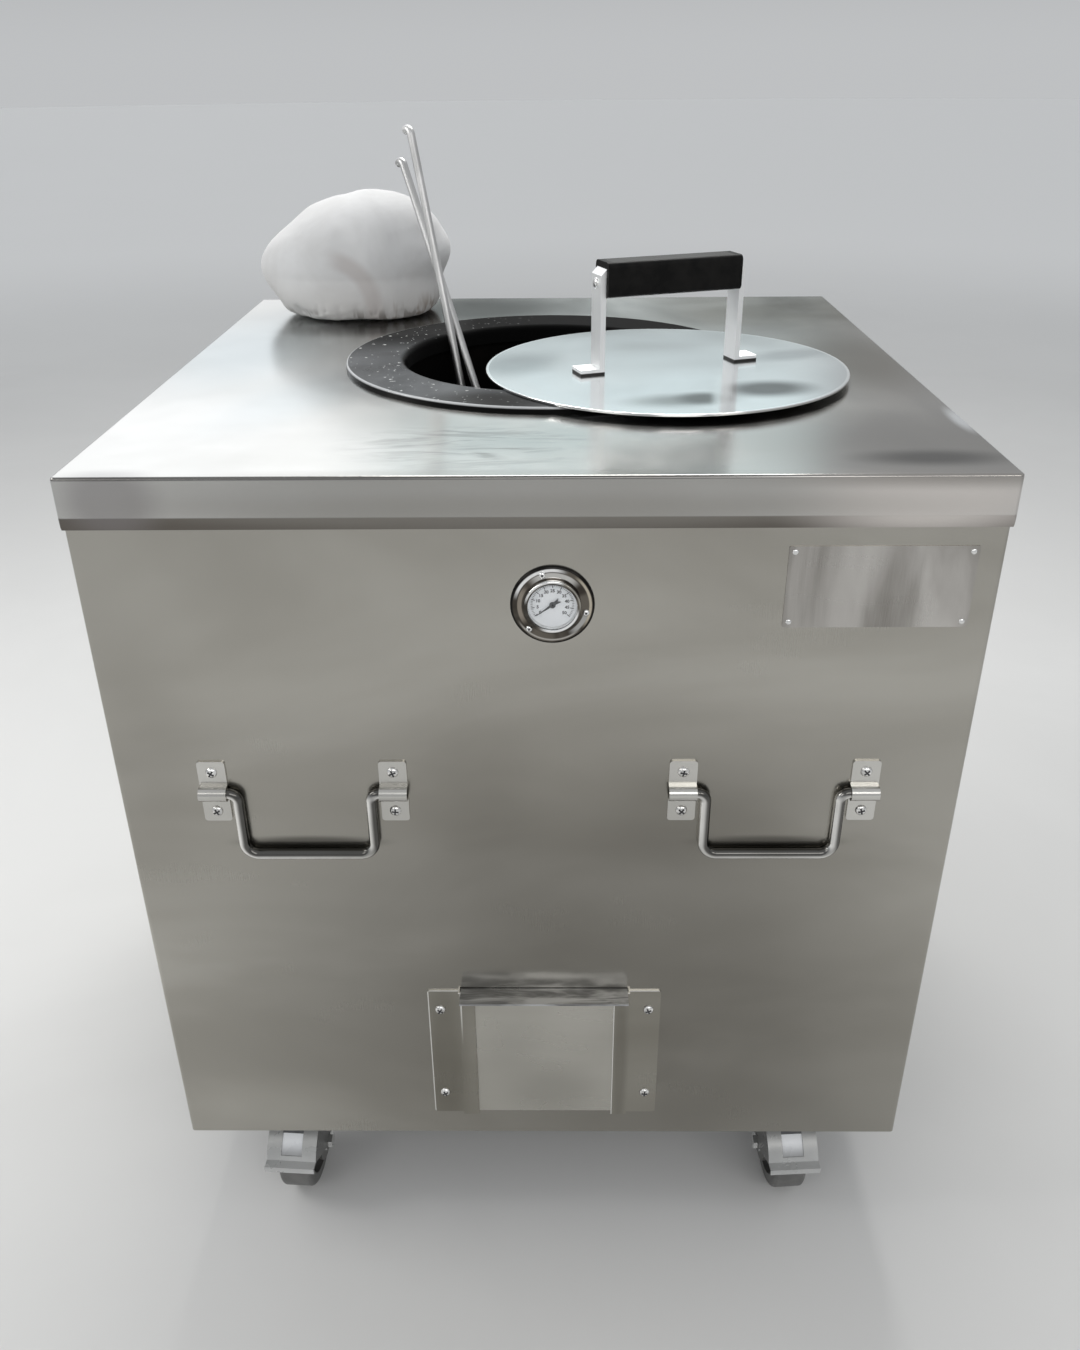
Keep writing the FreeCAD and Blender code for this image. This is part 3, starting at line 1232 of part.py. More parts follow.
# Tool rods lean on the mouth with their lower ends on the grate. A rod is drawn upright from its
# lower end, and its place is where its side just clears the mouth's rim.
def lean_rod(label, item, tool, foot_drop):
    lean = math.radians(number(f"{tool}_lean"))
    way = math.radians(number(f"{tool}_way"))
    at = math.radians(number(f"{tool}_at"))
    along = Vector(math.sin(lean) * math.cos(way), math.sin(lean) * math.sin(way), math.cos(lean))
    reach = number("mouth_radius + ring_lip") - number("ring_lip + rim_gap + rod_radius") / math.cos(lean)
    rim = Vector(number("mouth_x") + reach * math.cos(at), number("mouth_y") + reach * math.sin(at), 0)
    rim.z = number("ring_top - ring_lip")
    foot_z = number("grate_top + seat_gap") + foot_drop
    foot = rim - along * ((rim.z - foot_z) / along.z)
    heading = Rotation(Vector(0, 0, 1), math.degrees(way))
    item.Placement = Placement(foot, heading.multiply(Rotation(Vector(0, 1, 0), math.degrees(lean))))
    node(label, item)
    print(label, "along", [round(part, 5) for part in along])


# Both rods have their top end bent over, the way they lean
def rod_path(body, length, foot, bends):
    path = new_sketch(body, "XZ_Plane")
    outline(path, [
        ("rod_curl + rod_tail", length), ("rod_curl", length), ("0", f"{length} - rod_curl"),
    ] + foot, bends={1: ("rod_curl", -1), **bends}, closed=False)
    section = new_sketch(body, "YZ_Plane", "rod_curl + rod_tail")
    circle(section, "0", length, "rod_radius")
    pipe(body, section, path)


# The hook turns back up, away from the rim that the rod leans on
hook = new_body("hook_rod")
rod_path(hook, "hook_length", [
    ("0", "hook_bend"), ("-hook_bend", "0"), ("-2 * hook_bend", "hook_bend"),
], {3: ("hook_bend", 1), 4: ("hook_bend", 1)})
lean_hook = math.radians(number("hook_lean"))
hook_rise = number("hook_bend") * (math.sin(lean_hook) + math.cos(lean_hook) - 1)
lean_rod("hook_rod", hook, "hook", number("rod_radius") - hook_rise)

# The scraper's blade stands to one side, clear of the hook rod
scraper = new_body("scraper_rod")
rod_path(scraper, "scraper_length", [("0", "0")], {})
sketch = new_sketch(scraper, "YZ_Plane")
rectangle(sketch, "rod_radius - blade_width", "rod_radius", "0", "blade_length")
pad(scraper, sketch, "blade_thick", symmetric=True)
lean_scraper = math.radians(number("scraper_lean"))
lean_rod("scraper_rod", scraper, "scraper", number("rod_radius") * math.sin(lean_scraper))

# Every object has to be sound before anything is written
doc.recompute()
faults = [item.Name for item in doc.Objects if {"Invalid", "Error"} & set(item.State)]
faults += [label for label, item in nodes.items() if item.Shape.isNull() or not item.Shape.isValid()]
if faults:
    raise RuntimeError(f"failed: {faults}")
os.makedirs("parts", exist_ok=True)
for label, item in nodes.items():
    item.Shape.exportStep(f"parts/{label}.step")
print(len(nodes), "nodes written")
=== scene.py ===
import math

import bmesh
import bpy
from mathutils import Matrix, Vector, noise


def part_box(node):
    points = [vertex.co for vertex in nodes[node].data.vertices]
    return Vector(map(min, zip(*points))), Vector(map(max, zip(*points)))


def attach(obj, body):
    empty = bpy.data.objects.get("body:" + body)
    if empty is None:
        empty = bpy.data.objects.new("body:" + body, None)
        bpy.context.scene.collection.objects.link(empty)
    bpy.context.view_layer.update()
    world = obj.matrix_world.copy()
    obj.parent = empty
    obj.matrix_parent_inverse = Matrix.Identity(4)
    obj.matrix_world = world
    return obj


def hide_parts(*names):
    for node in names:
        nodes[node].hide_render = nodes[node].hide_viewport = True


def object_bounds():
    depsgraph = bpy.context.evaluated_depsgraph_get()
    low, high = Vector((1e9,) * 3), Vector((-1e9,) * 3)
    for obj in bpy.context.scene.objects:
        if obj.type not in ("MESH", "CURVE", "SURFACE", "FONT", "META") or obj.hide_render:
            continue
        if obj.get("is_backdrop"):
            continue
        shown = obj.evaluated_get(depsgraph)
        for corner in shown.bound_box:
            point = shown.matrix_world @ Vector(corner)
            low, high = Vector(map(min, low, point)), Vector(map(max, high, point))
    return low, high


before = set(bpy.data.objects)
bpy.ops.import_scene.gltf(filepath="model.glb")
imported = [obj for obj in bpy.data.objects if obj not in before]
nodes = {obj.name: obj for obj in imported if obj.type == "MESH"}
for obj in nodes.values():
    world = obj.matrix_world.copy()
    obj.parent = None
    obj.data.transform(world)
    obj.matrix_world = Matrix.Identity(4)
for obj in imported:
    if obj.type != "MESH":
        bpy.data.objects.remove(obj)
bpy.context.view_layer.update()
scene = bpy.context.scene
scene.view_settings.view_transform = "Standard"
print("frame:", len(nodes), "nodes")

# Camera, where the photograph was taken from
viewPoint = {
    "place": (0.01372, -1.24739, 1.15032), "turn": 0.73, "tilt": 28.05, "roll": -0.49, "lens": 30.82,
    "sensor": 36,
}
cameraData = bpy.data.cameras.new("viewCamera")
cameraData.sensor_width = viewPoint["sensor"]
cameraData.lens = viewPoint["lens"]
camera = bpy.data.objects.new("viewCamera", cameraData)
scene.collection.objects.link(camera)
camera.matrix_world = (
    Matrix.Translation(viewPoint["place"])
    @ Matrix.Rotation(math.radians(viewPoint["turn"]), 4, "Z")
    @ Matrix.Rotation(math.radians(90 - viewPoint["tilt"]), 4, "X")
    @ Matrix.Rotation(math.radians(viewPoint["roll"]), 4, "Z")
)
scene.camera = camera
print("camera set")


# Node helpers: a finish is a Principled shader with textures wired into it
def newFinish(name, **sockets):
    finish = bpy.data.materials.new(name)
    finish.use_nodes = True
    shader = finish.node_tree.nodes["Principled BSDF"]
    for socket, value in sockets.items():
        shader.inputs[socket.replace("_", " ")].default_value = value
    return finish, finish.node_tree, shader


def addNode(tree, kind, inputs=None, **settings):
    made = tree.nodes.new("ShaderNode" + kind)
    for name, value in settings.items():
        setattr(made, name, value)
    for name, value in (inputs or {}).items():
        socket = made.inputs[name]
        if isinstance(value, bpy.types.NodeSocket):
            tree.links.new(value, socket)
        else:
            socket.default_value = value
    return made


def placeOn(tree, scale=(1, 1, 1), turn=(0, 0, 0), shift=(0, 0, 0)):
    where = addNode(tree, "TexCoord")
    mapped = addNode(tree, "Mapping", {
        "Vector": where.outputs["Object"], "Scale": scale, "Rotation": [math.radians(a) for a in turn],
        "Location": shift,
    })
    return mapped.outputs["Vector"]


def noiseOn(tree, vector, scale, detail=3.0, rough=0.55, bend=0.0):
    made = addNode(tree, "TexNoise", {
        "Vector": vector, "Scale": scale, "Detail": detail, "Roughness": rough, "Distortion": bend,
    })
    return made.outputs["Fac"]


def ramp(tree, value, low, high, to=(0.0, 1.0)):
    made = addNode(tree, "MapRange", {
        "Value": value, "From Min": low, "From Max": high, "To Min": to[0], "To Max": to[1],
    }, interpolation_type="SMOOTHSTEP")
    return made.outputs["Result"]


def sums(tree, kind, first, second):
    return addNode(tree, "Math", {0: first, 1: second}, operation=kind).outputs[0]


def times(tree, first, *others):
    for other in others:
        first = sums(tree, "MULTIPLY", first, other)
    return first


def lengthOf(tree, vector):
    return addNode(tree, "VectorMath", {0: vector}, operation="LENGTH").outputs["Value"]


def scaled(tree, vector, share):
    return addNode(tree, "VectorMath", {0: vector, "Scale": share}, operation="SCALE").outputs["Vector"]


def mixTones(tree, share, first, second):
    made = addNode(tree, "Mix", {"Factor": share}, data_type="RGBA")
    for socket, tone in ((made.inputs[6], first), (made.inputs[7], second)):
        if isinstance(tone, bpy.types.NodeSocket):
            tree.links.new(tone, socket)
        else:
            socket.default_value = (*tone, 1)
    return made.outputs[2]


def wire(tree, source, shader, socket):
    tree.links.new(source, shader.inputs[socket])


def addBump(tree, shader, height, strength, depth, under=None):
    inputs = {"Height": height, "Strength": strength, "Distance": depth}
    if under is not None:
        inputs["Normal"] = under
    made = addNode(tree, "Bump", inputs)
    wire(tree, made.outputs["Normal"], shader, "Normal")
    return made.outputs["Normal"]


# Distance from an upright axis, for soot, painted shade and painted highlights that follow the round mouth
# and the lid, and for the floor's painted falloff
def radiusFrom(tree, middle):
    spread = placeOn(tree, (1, 1, 0), shift=(-middle[0], -middle[1], 0))
    return lengthOf(tree, spread)


def alongAxis(tree, axis):
    parts = addNode(tree, "SeparateXYZ", {"Vector": placeOn(tree)})
    return parts.outputs[axis]


# Share from 0 to 1 inside a soft-edged oval; a half width of 0 leaves that axis out
def ovalAt(tree, middle, half, edge=0.6, turn=0.0):
    where = addNode(tree, "TexCoord").outputs["Object"]
    spread = addNode(tree, "Mapping", {
        "Vector": where, "Location": middle, "Rotation": (0, 0, math.radians(turn)), "Scale": half,
    }, vector_type="TEXTURE").outputs["Vector"]
    return ramp(tree, lengthOf(tree, spread), 1.0 + edge, 1.0 - edge)


# Lays a list of patches over a tone; most of them are painted reflections and shade
def layPatches(tree, tone, patches):
    for patch in patches:
        oval = {key: patch[key] for key in ("middle", "half", "edge", "turn") if key in patch}
        tone = mixTones(tree, times(tree, ovalAt(tree, **oval), patch["share"]), tone, patch["tone"])
    return tone


# How far a surface faces a given way, in the piece's own axes
def facingTo(tree, way):
    own = addNode(tree, "TexCoord").outputs["Normal"]
    return addNode(tree, "VectorMath", {0: own, 1: way}, operation="DOT_PRODUCT").outputs["Value"]


# Share of 1 within a narrow band either side of a level
def bandAt(tree, place, level, half):
    return addNode(tree, "Math", {0: place, 1: level, 2: half}, operation="COMPARE").outputs[0]


# Steel sheet: fine rolled grain, cloudy wiped patches and slow waves
sheet = {
    "grainNoise": (1.0, 2.0, 0.6), "cloudNoise": (1.0, 4.0, 0.5, 0.6), "wipeNoise": (1.0, 3.0, 0.6, 0.3),
    "wipeTurn": (0, 18, 24), "cloudSpan": (0.32, 0.70), "lineSpan": (0.30, 0.75), "wipeSpan": (0.30, 0.72),
    "grainSpan": (0.2, 0.8), "grainRough": 0.01, "grainDepth": 0.0004, "waveNoise": (1.0, 0.4),
}


def grainedSteel(name, look):
    finish, tree, shader = newFinish(name, Metallic=1.0)
    grain = noiseOn(tree, placeOn(tree, look["grain"]), *sheet["grainNoise"])
    cloud = noiseOn(tree, placeOn(tree, look["cloud"]), *sheet["cloudNoise"])
    wipe = noiseOn(tree, placeOn(tree, look["wipe"], sheet["wipeTurn"]), *sheet["wipeNoise"])
    tone = mixTones(tree, ramp(tree, cloud, *sheet["cloudSpan"]), look["dark"], look["light"])
    lines = ramp(tree, grain, *sheet["lineSpan"], (0.0, look["grainTone"]))
    tone = mixTones(tree, lines, tone, look["line"])
    if "shade" in look:
        tone = look["shade"](tree, tone)
    wire(tree, tone, shader, "Base Color")
    rough = ramp(tree, wipe, *sheet["wipeSpan"], look["rough"])
    change = look.get("grainRough", sheet["grainRough"])
    rough = sums(tree, "ADD", rough, ramp(tree, grain, *sheet["grainSpan"], (-change, change)))
    for spot in look.get("dullSpots", []):
        more = times(tree, ovalAt(tree, spot["middle"], spot["half"]), spot["more"])
        rough = sums(tree, "ADD", rough, more)
    wire(tree, rough, shader, "Roughness")
    waves = noiseOn(tree, placeOn(tree), look["waveScale"], *sheet["waveNoise"])
    soft = addBump(tree, shader, waves, 1.0, look["wave"])
    addBump(tree, shader, grain, look["grainBump"], sheet["grainDepth"], soft)
    return finish


# Front panel: painted dark reflections round the ash door, a painted reflection and shadow of each bail's bar
# just above it, and a painted pale reflection at the lower left
frontReflections = {
    "darkReflections": [
        {"middle": (0.06, 0, 0.40), "half": (0.25, 0, 0.19), "share": 0.66},
        {"middle": (0.17, 0, 0.23), "half": (0.27, 0, 0.14), "share": 0.48},
        {"middle": (-0.055, 0, 0.555), "half": (0.045, 0, 0.075), "share": 0.30},
        {"middle": (0.0, 0, 0.395), "half": (0.07, 0, 0.06), "share": 0.50},
        {"middle": (0.30, 0, 0.60), "half": (0.16, 0, 0.06), "share": 0.14},
        {"middle": (-0.27, 0, 0.62), "half": (0.20, 0, 0.03), "share": 0.16},
        {"middle": (-0.36, 0, 0.60), "half": (0.05, 0, 0.14), "share": 0.25},
        {"middle": (0.15, 0, 0.545), "half": (0.07, 0, 0.05), "share": 0.42},
    ],
    "barReflections": [
        {"middle": (x, 0, 0.5128), "half": (0.058, 0, 0.0062), "edge": 0.5, "share": 0.75,
         "tone": (0.10, 0.095, 0.085)}
        for x in (-0.2105, 0.2105)
    ],
    "paleReflection": [
        {"middle": (-0.30, 0, 0.165), "half": (0.08, 0, 0.035), "edge": 0.8, "share": 0.40,
         "tone": (0.62, 0.60, 0.545)},
    ],
    "darkReflectionTone": (0.18, 0.17, 0.148), "darkReflectionEdge": 0.75, "thinnest": 0.55, "driftScale": (3, 3, 7),
    "driftNoise": (1.0, 3.0, 0.5, 0.8), "driftSpan": (0.2, 0.75),
}


# Lays the painted dark reflections, thinned by a slow drift, then the bars' painted reflections and the pale
# painted reflection
def smokedFront(tree, tone):
    wear = frontReflections
    drift = noiseOn(tree, placeOn(tree, wear["driftScale"]), *wear["driftNoise"])
    for patch in wear["darkReflections"]:
        inside = ovalAt(tree, patch["middle"], patch["half"], wear["darkReflectionEdge"])
        shares = (wear["thinnest"] * patch["share"], patch["share"])
        share = times(tree, inside, ramp(tree, drift, *wear["driftSpan"], shares))
        tone = mixTones(tree, share, tone, wear["darkReflectionTone"])
    return layPatches(tree, tone, wear["barReflections"] + wear["paleReflection"])


# Cover: painted shade along the tucked hem and on the front edge's bend, painted reflections, shadows and a
# highlight at the skirt's ends and across the top, painted darkening toward the rear, and a scuff before the
# mouth
coverShadeAndScuff = {
    "hem": (0.8312, 0.8298), "hemShade": (0.10, 0.086, 0.072), "share": 0.92, "rearShade": (0.10, 0.26),
    "rearLeft": (0.10, 0.22),
    "edge": {"out": (-0.3780, -0.3800), "up": (0.8608, 0.8622), "left": (0.26, 0.12), "share": 0.72,
             "tone": (0.09, 0.085, 0.08)},
    "patches": [
        {"middle": (-0.337, -0.381, 0.845), "half": (0.036, 0.02, 0.03), "edge": 0.5, "share": 0.55,
         "tone": (0.26, 0.245, 0.25)},
        {"middle": (0.31, -0.381, 0.845), "half": (0.09, 0.02, 0.03), "share": 0.9,
         "tone": (0.74, 0.70, 0.67)},
        {"middle": (0.0, -0.381, 0.838), "half": (0.26, 0.02, 0.010), "edge": 0.8, "share": 0.4,
         "tone": (0.30, 0.285, 0.255)},
        {"middle": (0.38, -0.10, 0.864), "half": (0.20, 0.40, 0.01), "edge": 0.7, "share": 0.78,
         "tone": (0.30, 0.285, 0.265)},
        {"middle": (0.31, -0.31, 0.864), "half": (0.13, 0.08, 0.01), "edge": 0.7, "share": 0.40,
         "tone": (0.22, 0.205, 0.185), "turn": 12},
        {"middle": (-0.326, 0.08, 0.864), "half": (0.09, 0.17, 0.01), "edge": 0.8, "share": 0.60,
         "tone": (0.36, 0.43, 0.46)},
        {"middle": (-0.225, -0.13, 0.864), "half": (0.045, 0.11, 0.01), "edge": 0.8, "share": 0.38,
         "tone": (0.40, 0.47, 0.50), "turn": -24},
        {"middle": (-0.085, 0.30, 0.864), "half": (0.12, 0.10, 0.01), "edge": 0.7, "share": 0.96,
         "tone": (0.02, 0.018, 0.012)},
        {"middle": (0.343, 0.004, 0.864), "half": (0.06, 0.12, 0.01), "edge": 0.7, "share": 0.70,
         "tone": (0.10, 0.085, 0.06)},
        {"middle": (0.020, -0.285, 0.864), "half": (0.07, 0.035, 0.01), "edge": 0.8, "share": 0.30,
         "tone": (0.33, 0.40, 0.40)},
        {"middle": (-0.03, -0.381, 0.845), "half": (0.27, 0.02, 0.03), "edge": 0.3, "share": 0.40,
         "tone": (0.31, 0.30, 0.28)},
        {"middle": (0.322, -0.338, 0.864), "half": (0.050, 0.017, 0.01), "edge": 0.7, "share": 0.80,
         "tone": (0.05, 0.046, 0.041)},
        {"middle": (0.377, -0.228, 0.864), "half": (0.007, 0.032, 0.01), "edge": 0.7, "share": 0.90,
         "tone": (0.95, 0.97, 0.98)},
        {"middle": (-0.195, 0.176, 0.864), "half": (0.085, 0.034, 0.01), "edge": 0.7, "share": 0.85,
         "tone": (0.03, 0.027, 0.022)},
    ],
    "rearShadeTone": (0.12, 0.10, 0.07), "rearShadeShare": 0.78, "thinnest": 0.55, "driftScale": (3, 9, 3),
    "driftNoise": (1.0, 2.0, 0.5, 0.5), "driftSpan": (0.25, 0.7),
    "scuff": {"middle": (-0.055, -0.30, 0), "half": (0.08, 0.05, 0), "edge": 0.7},
    "scuffTone": (0.28, 0.275, 0.265), "streakScale": (9, 38, 9), "streakTurn": (0, 0, -24),
    "streakNoise": (1.0, 3.0, 0.7, 1.2), "streakSpan": (0.42, 0.66),
}


def grimyCover(tree, tone):
    wear = coverShadeAndScuff
    across, along, up = (alongAxis(tree, axis) for axis in "XYZ")
    # Painted shade along the tucked hem
    tone = mixTones(tree, times(tree, ramp(tree, up, *wear["hem"]), wear["share"]), tone, wear["hemShade"])
    # Painted reflections, shadows and one highlight on the skirt and the top
    tone = layPatches(tree, tone, wear["patches"])
    streak = noiseOn(tree, placeOn(tree, wear["streakScale"], wear["streakTurn"]), *wear["streakNoise"])
    worn = times(tree, ovalAt(tree, **wear["scuff"]), ramp(tree, streak, *wear["streakSpan"]))
    tone = mixTones(tree, worn, tone, wear["scuffTone"])
    # Painted darkening toward the rear of the top, thinned by a slow drift
    drift = noiseOn(tree, placeOn(tree, wear["driftScale"]), *wear["driftNoise"])
    shares = (wear["thinnest"] * wear["rearShadeShare"], wear["rearShadeShare"])
    rearShade = times(
        tree, ramp(tree, along, *wear["rearShade"]), ramp(tree, across, *wear["rearLeft"]),
        ramp(tree, drift, *wear["driftSpan"], shares),
    )
    tone = mixTones(tree, rearShade, tone, wear["rearShadeTone"])
    # Painted shade over the bend of the front edge, toning down its highlight
    bend = wear["edge"]
    line = times(
        tree, ramp(tree, along, *bend["out"]), ramp(tree, up, *bend["up"]),
        ramp(tree, across, *bend["left"], (0.0, bend["share"])),
    )
    return mixTones(tree, line, tone, bend["tone"])


# Door guides: painted highlights along their edges and top, fading down the left guide's inner edge, and a
# painted soft shade beside each bend
guideLightAndShade = {
    "sides": [{"at": -0.1121, "half": 0.0006}, {"at": 0.0739, "half": 0.0006},
              {"at": -0.0792, "half": 0.0007, "fade": (0.255, 0.325)}],
    "top": (0.3317, 0.0006), "tone": (0.90, 0.89, 0.86),
    "bend": [
        {"middle": (0.0815, 0, 0.24), "half": (0.0065, 0, 0.12), "share": 0.45, "tone": (0.17, 0.16, 0.135)},
        {"middle": (-0.097, 0, 0.24), "half": (0.018, 0, 0.11), "share": 0.45, "tone": (0.15, 0.14, 0.115)},
    ],
}


def shearedEdges(tree, tone):
    across, up = alongAxis(tree, "X"), alongAxis(tree, "Z")
    # Painted soft shade beside each bend
    tone = layPatches(tree, tone, guideLightAndShade["bend"])
    # Painted highlights along the edges, the left guide's inner one fading downward
    for side in guideLightAndShade["sides"]:
        share = bandAt(tree, across, side["at"], side["half"])
        if "fade" in side:
            share = times(tree, share, ramp(tree, up, *side["fade"]))
        tone = mixTones(tree, share, tone, guideLightAndShade["tone"])
    return mixTones(tree, bandAt(tree, up, *guideLightAndShade["top"]), tone, guideLightAndShade["tone"])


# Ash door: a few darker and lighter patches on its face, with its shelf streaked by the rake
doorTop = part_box("ash_door")[1].z
shelfWear = {
    "from": (doorTop - 0.0060, doorTop - 0.0045), "dark": (0.20, 0.203, 0.207), "light": (0.62, 0.63, 0.65),
    "streakScale": (16, 90, 90), "streakTurn": (0, 0, 4), "streakNoise": (1.0, 3.0, 0.65, 0.7),
    "streakSpan": (0.34, 0.68),
}
doorPatches = [
    {"middle": (0.011, 0, 0.195), "half": (0.040, 0, 0.030), "edge": 0.8, "share": 0.40,
     "tone": (0.33, 0.32, 0.29)},
    {"middle": (-0.030, 0, 0.255), "half": (0.025, 0, 0.030), "edge": 0.8, "share": 0.25,
     "tone": (0.36, 0.35, 0.32)},
    {"middle": (0.035, 0, 0.300), "half": (0.030, 0, 0.030), "edge": 0.8, "share": 0.35,
     "tone": (0.68, 0.66, 0.61)},
]


def rakedShelf(tree, tone):
    wear = shelfWear
    tone = layPatches(tree, tone, doorPatches)
    streak = noiseOn(tree, placeOn(tree, wear["streakScale"], wear["streakTurn"]), *wear["streakNoise"])
    shelf = mixTones(tree, ramp(tree, streak, *wear["streakSpan"]), wear["dark"], wear["light"])
    return mixTones(tree, ramp(tree, alongAxis(tree, "Z"), *wear["from"]), tone, shelf)


# Lid: painted reflections of the grip, the legs and the room, laid on as dark and light patches, and a
# painted highlight round its rim
lidReflections = {
    "reflections": [
        {"middle": (0.133, -0.190, 0), "half": (0.042, 0.019, 0), "turn": 10, "edge": 0.75, "share": 0.85,
         "tone": (0.20, 0.21, 0.205)},
        {"middle": (0.153, -0.184, 0), "half": (0.022, 0.018, 0), "turn": 20, "share": 0.9,
         "tone": (0.03, 0.032, 0.03)},
        {"middle": (0.218, -0.150, 0), "half": (0.040, 0.026, 0), "turn": 10, "edge": 0.55, "share": 0.92,
         "tone": (0.01, 0.01, 0.01)},
        {"middle": (0.1735, -0.160, 0), "half": (0.008, 0.085, 0), "turn": -8, "share": 0.6,
         "tone": (0.86, 0.88, 0.88)},
        {"middle": (-0.022, -0.045, 0), "half": (0.050, 0.035, 0), "turn": 55, "edge": 0.7, "share": 0.55,
         "tone": (0.22, 0.24, 0.25)},
        {"middle": (0.262, -0.010, 0), "half": (0.045, 0.020, 0), "turn": 24, "share": 0.45,
         "tone": (0.26, 0.27, 0.29)},
    ],
    "middle": (0.1296, -0.055), "rim": (0.1800, 0.1812), "bright": (0.97, 0.98, 0.98),
}


def smearedLid(tree, tone):
    tone = layPatches(tree, tone, lidReflections["reflections"])
    # Painted highlight round the rim
    rim = ramp(tree, radiusFrom(tree, lidReflections["middle"]), *lidReflections["rim"])
    return mixTones(tree, rim, tone, lidReflections["bright"])


# Lid strap: black along its top above the grip, and a painted shadow on the lower part of each foot's front
# face
strapBlackAndShadow = {
    "black": (0.9762, 0.9772), "nearBlack": (0.014, 0.013, 0.012), "foot": (0.8756, 0.8748),
    "footShadeTone": (0.05, 0.049, 0.047),
}


def blackenedTop(tree, tone):
    up = alongAxis(tree, "Z")
    # Painted shadow on the lower part of each foot's front face
    tone = mixTones(tree, ramp(tree, up, *strapBlackAndShadow["foot"]), tone, strapBlackAndShadow["footShadeTone"])
    return mixTones(tree, ramp(tree, up, *strapBlackAndShadow["black"]), tone, strapBlackAndShadow["nearBlack"])


# Bails: bright drawn rod, with a painted dark reflection along its upper inner side
bailReflection = {"way": (0.6, 0.0, 0.8), "from": (-0.25, 0.25), "share": 0.92, "tone": (0.06, 0.058, 0.053)}


def tarnishedRod(tree, tone):
    upper = ramp(tree, facingTo(tree, bailReflection["way"]), *bailReflection["from"])
    return mixTones(tree, times(tree, upper, bailReflection["share"]), tone, bailReflection["tone"])


# Gauge flange and bezel: spun and polished, with their reflections painted as light and dark arcs round the
# dial and a painted dark shade at each outer rim
gaugeMiddle = (0.0134, 0, 0.7534)
flangeReflections = [
    {"ring": (0.0250, 0.0292), "at": 86, "spread": 34, "tone": (0.60, 0.59, 0.57)},
    {"ring": (0.0300, 0.0326), "at": 118, "spread": 38, "tone": (0.96, 0.96, 0.96)},
    {"ring": (0.0304, 0.0325), "at": 8, "spread": 34, "tone": (0.55, 0.50, 0.41)},
    {"ring": (0.0268, 0.0306), "at": -34, "spread": 14, "tone": (0.43, 0.43, 0.42)},
    {"ring": (0.0304, 0.0318), "at": -98, "spread": 44, "tone": (0.46, 0.44, 0.41)},
    {"ring": (0.0255, 0.0290), "at": 178, "spread": 26, "tone": (0.30, 0.265, 0.225)},
]
bezelReflections = [
    {"ring": (0.0218, 0.0242), "at": 116, "spread": 42, "tone": (0.93, 0.93, 0.92)},
    {"ring": (0.0200, 0.0222), "at": -62, "spread": 46, "tone": (0.96, 0.96, 0.96)},
    {"ring": (0.0222, 0.0236), "at": 30, "spread": 26, "tone": (0.40, 0.38, 0.34)},
]
spun = {
    "noise": (1.5, 2.0, 0.5), "span": (0.38, 0.66), "fadeOut": 16, "fadeIn": 10, "least": 2, "soft": 0.0005,
    "rimShadeTone": (0.020, 0.019, 0.018), "spindle": (0.0032, 0.0028), "spindleTone": (0.012, 0.012, 0.013),
}


def roundGauge(tree):
    return placeOn(tree, (1, 0, 1), shift=(-gaugeMiddle[0], 0, -gaugeMiddle[2]))


def spunArcs(arcs, rim, dark, light):
    def lay(tree, tone):
        flat = roundGauge(tree)
        way = addNode(tree, "VectorMath", {0: flat}, operation="NORMALIZE").outputs["Vector"]
        away = lengthOf(tree, flat)
        tone = mixTones(tree, ramp(tree, noiseOn(tree, way, *spun["noise"]), *spun["span"]), dark, light)
        # Painted reflections, one arc at a time
        for arc in arcs:
            at = math.radians(arc["at"])
            point = (math.cos(at), 0, math.sin(at))
            near = addNode(tree, "VectorMath", {0: way, 1: point}, operation="DOT_PRODUCT").outputs["Value"]
            fade = (arc["spread"] + spun["fadeOut"], max(arc["spread"] - spun["fadeIn"], spun["least"]))
            inner, outer = arc["ring"]
            share = times(
                tree, ramp(tree, near, *(math.cos(math.radians(a)) for a in fade)),
                ramp(tree, away, inner - spun["soft"], inner + spun["soft"]),
                ramp(tree, away, outer + spun["soft"], outer - spun["soft"]),
            )
            tone = mixTones(tree, share, tone, arc["tone"])
        # Painted dark shade at the outer rim
        return mixTones(tree, ramp(tree, away, *rim), tone, spun["rimShadeTone"])
    return lay


# Gauge case: the spindle under the pointer is black
def blackSpindle(tree, tone):
    away = lengthOf(tree, roundGauge(tree))
    return mixTones(tree, ramp(tree, away, *spun["spindle"]), tone, spun["spindleTone"])


panelLook = {
    "grain": (3600, 3600, 30), "cloud": (1.8, 1.8, 5.0), "wipe": (4, 4, 11), "dark": (0.39, 0.375, 0.336),
    "light": (0.525, 0.51, 0.466), "line": (0.60, 0.59, 0.56), "grainTone": 0.05, "rough": (0.19, 0.28),
    "waveScale": 2.6, "wave": 0.0022, "grainBump": 0.004,
}
frontLook = {**panelLook, "dark": (0.365, 0.35, 0.313), "light": (0.49, 0.475, 0.434), "shade": smokedFront}
coverLook = {
    "grain": (30, 3600, 3600), "cloud": (3.0, 4.0, 3.0), "wipe": (7, 4, 6), "dark": (0.53, 0.525, 0.505),
    "light": (0.62, 0.615, 0.60), "line": (0.74, 0.74, 0.73), "grainTone": 0.08, "rough": (0.16, 0.26),
    "waveScale": 4.0, "wave": 0.0012, "grainBump": 0.008, "shade": grimyCover,
    "dullSpots": [{"middle": (0.105, -0.318, 0.864), "half": (0.085, 0.055, 0.01), "more": 0.05}],
}
guideLook = {
    **panelLook, "dark": (0.30, 0.285, 0.245), "light": (0.42, 0.405, 0.36), "rough": (0.20, 0.30),
    "wave": 0.0008, "waveScale": 9.0, "shade": shearedEdges,
}
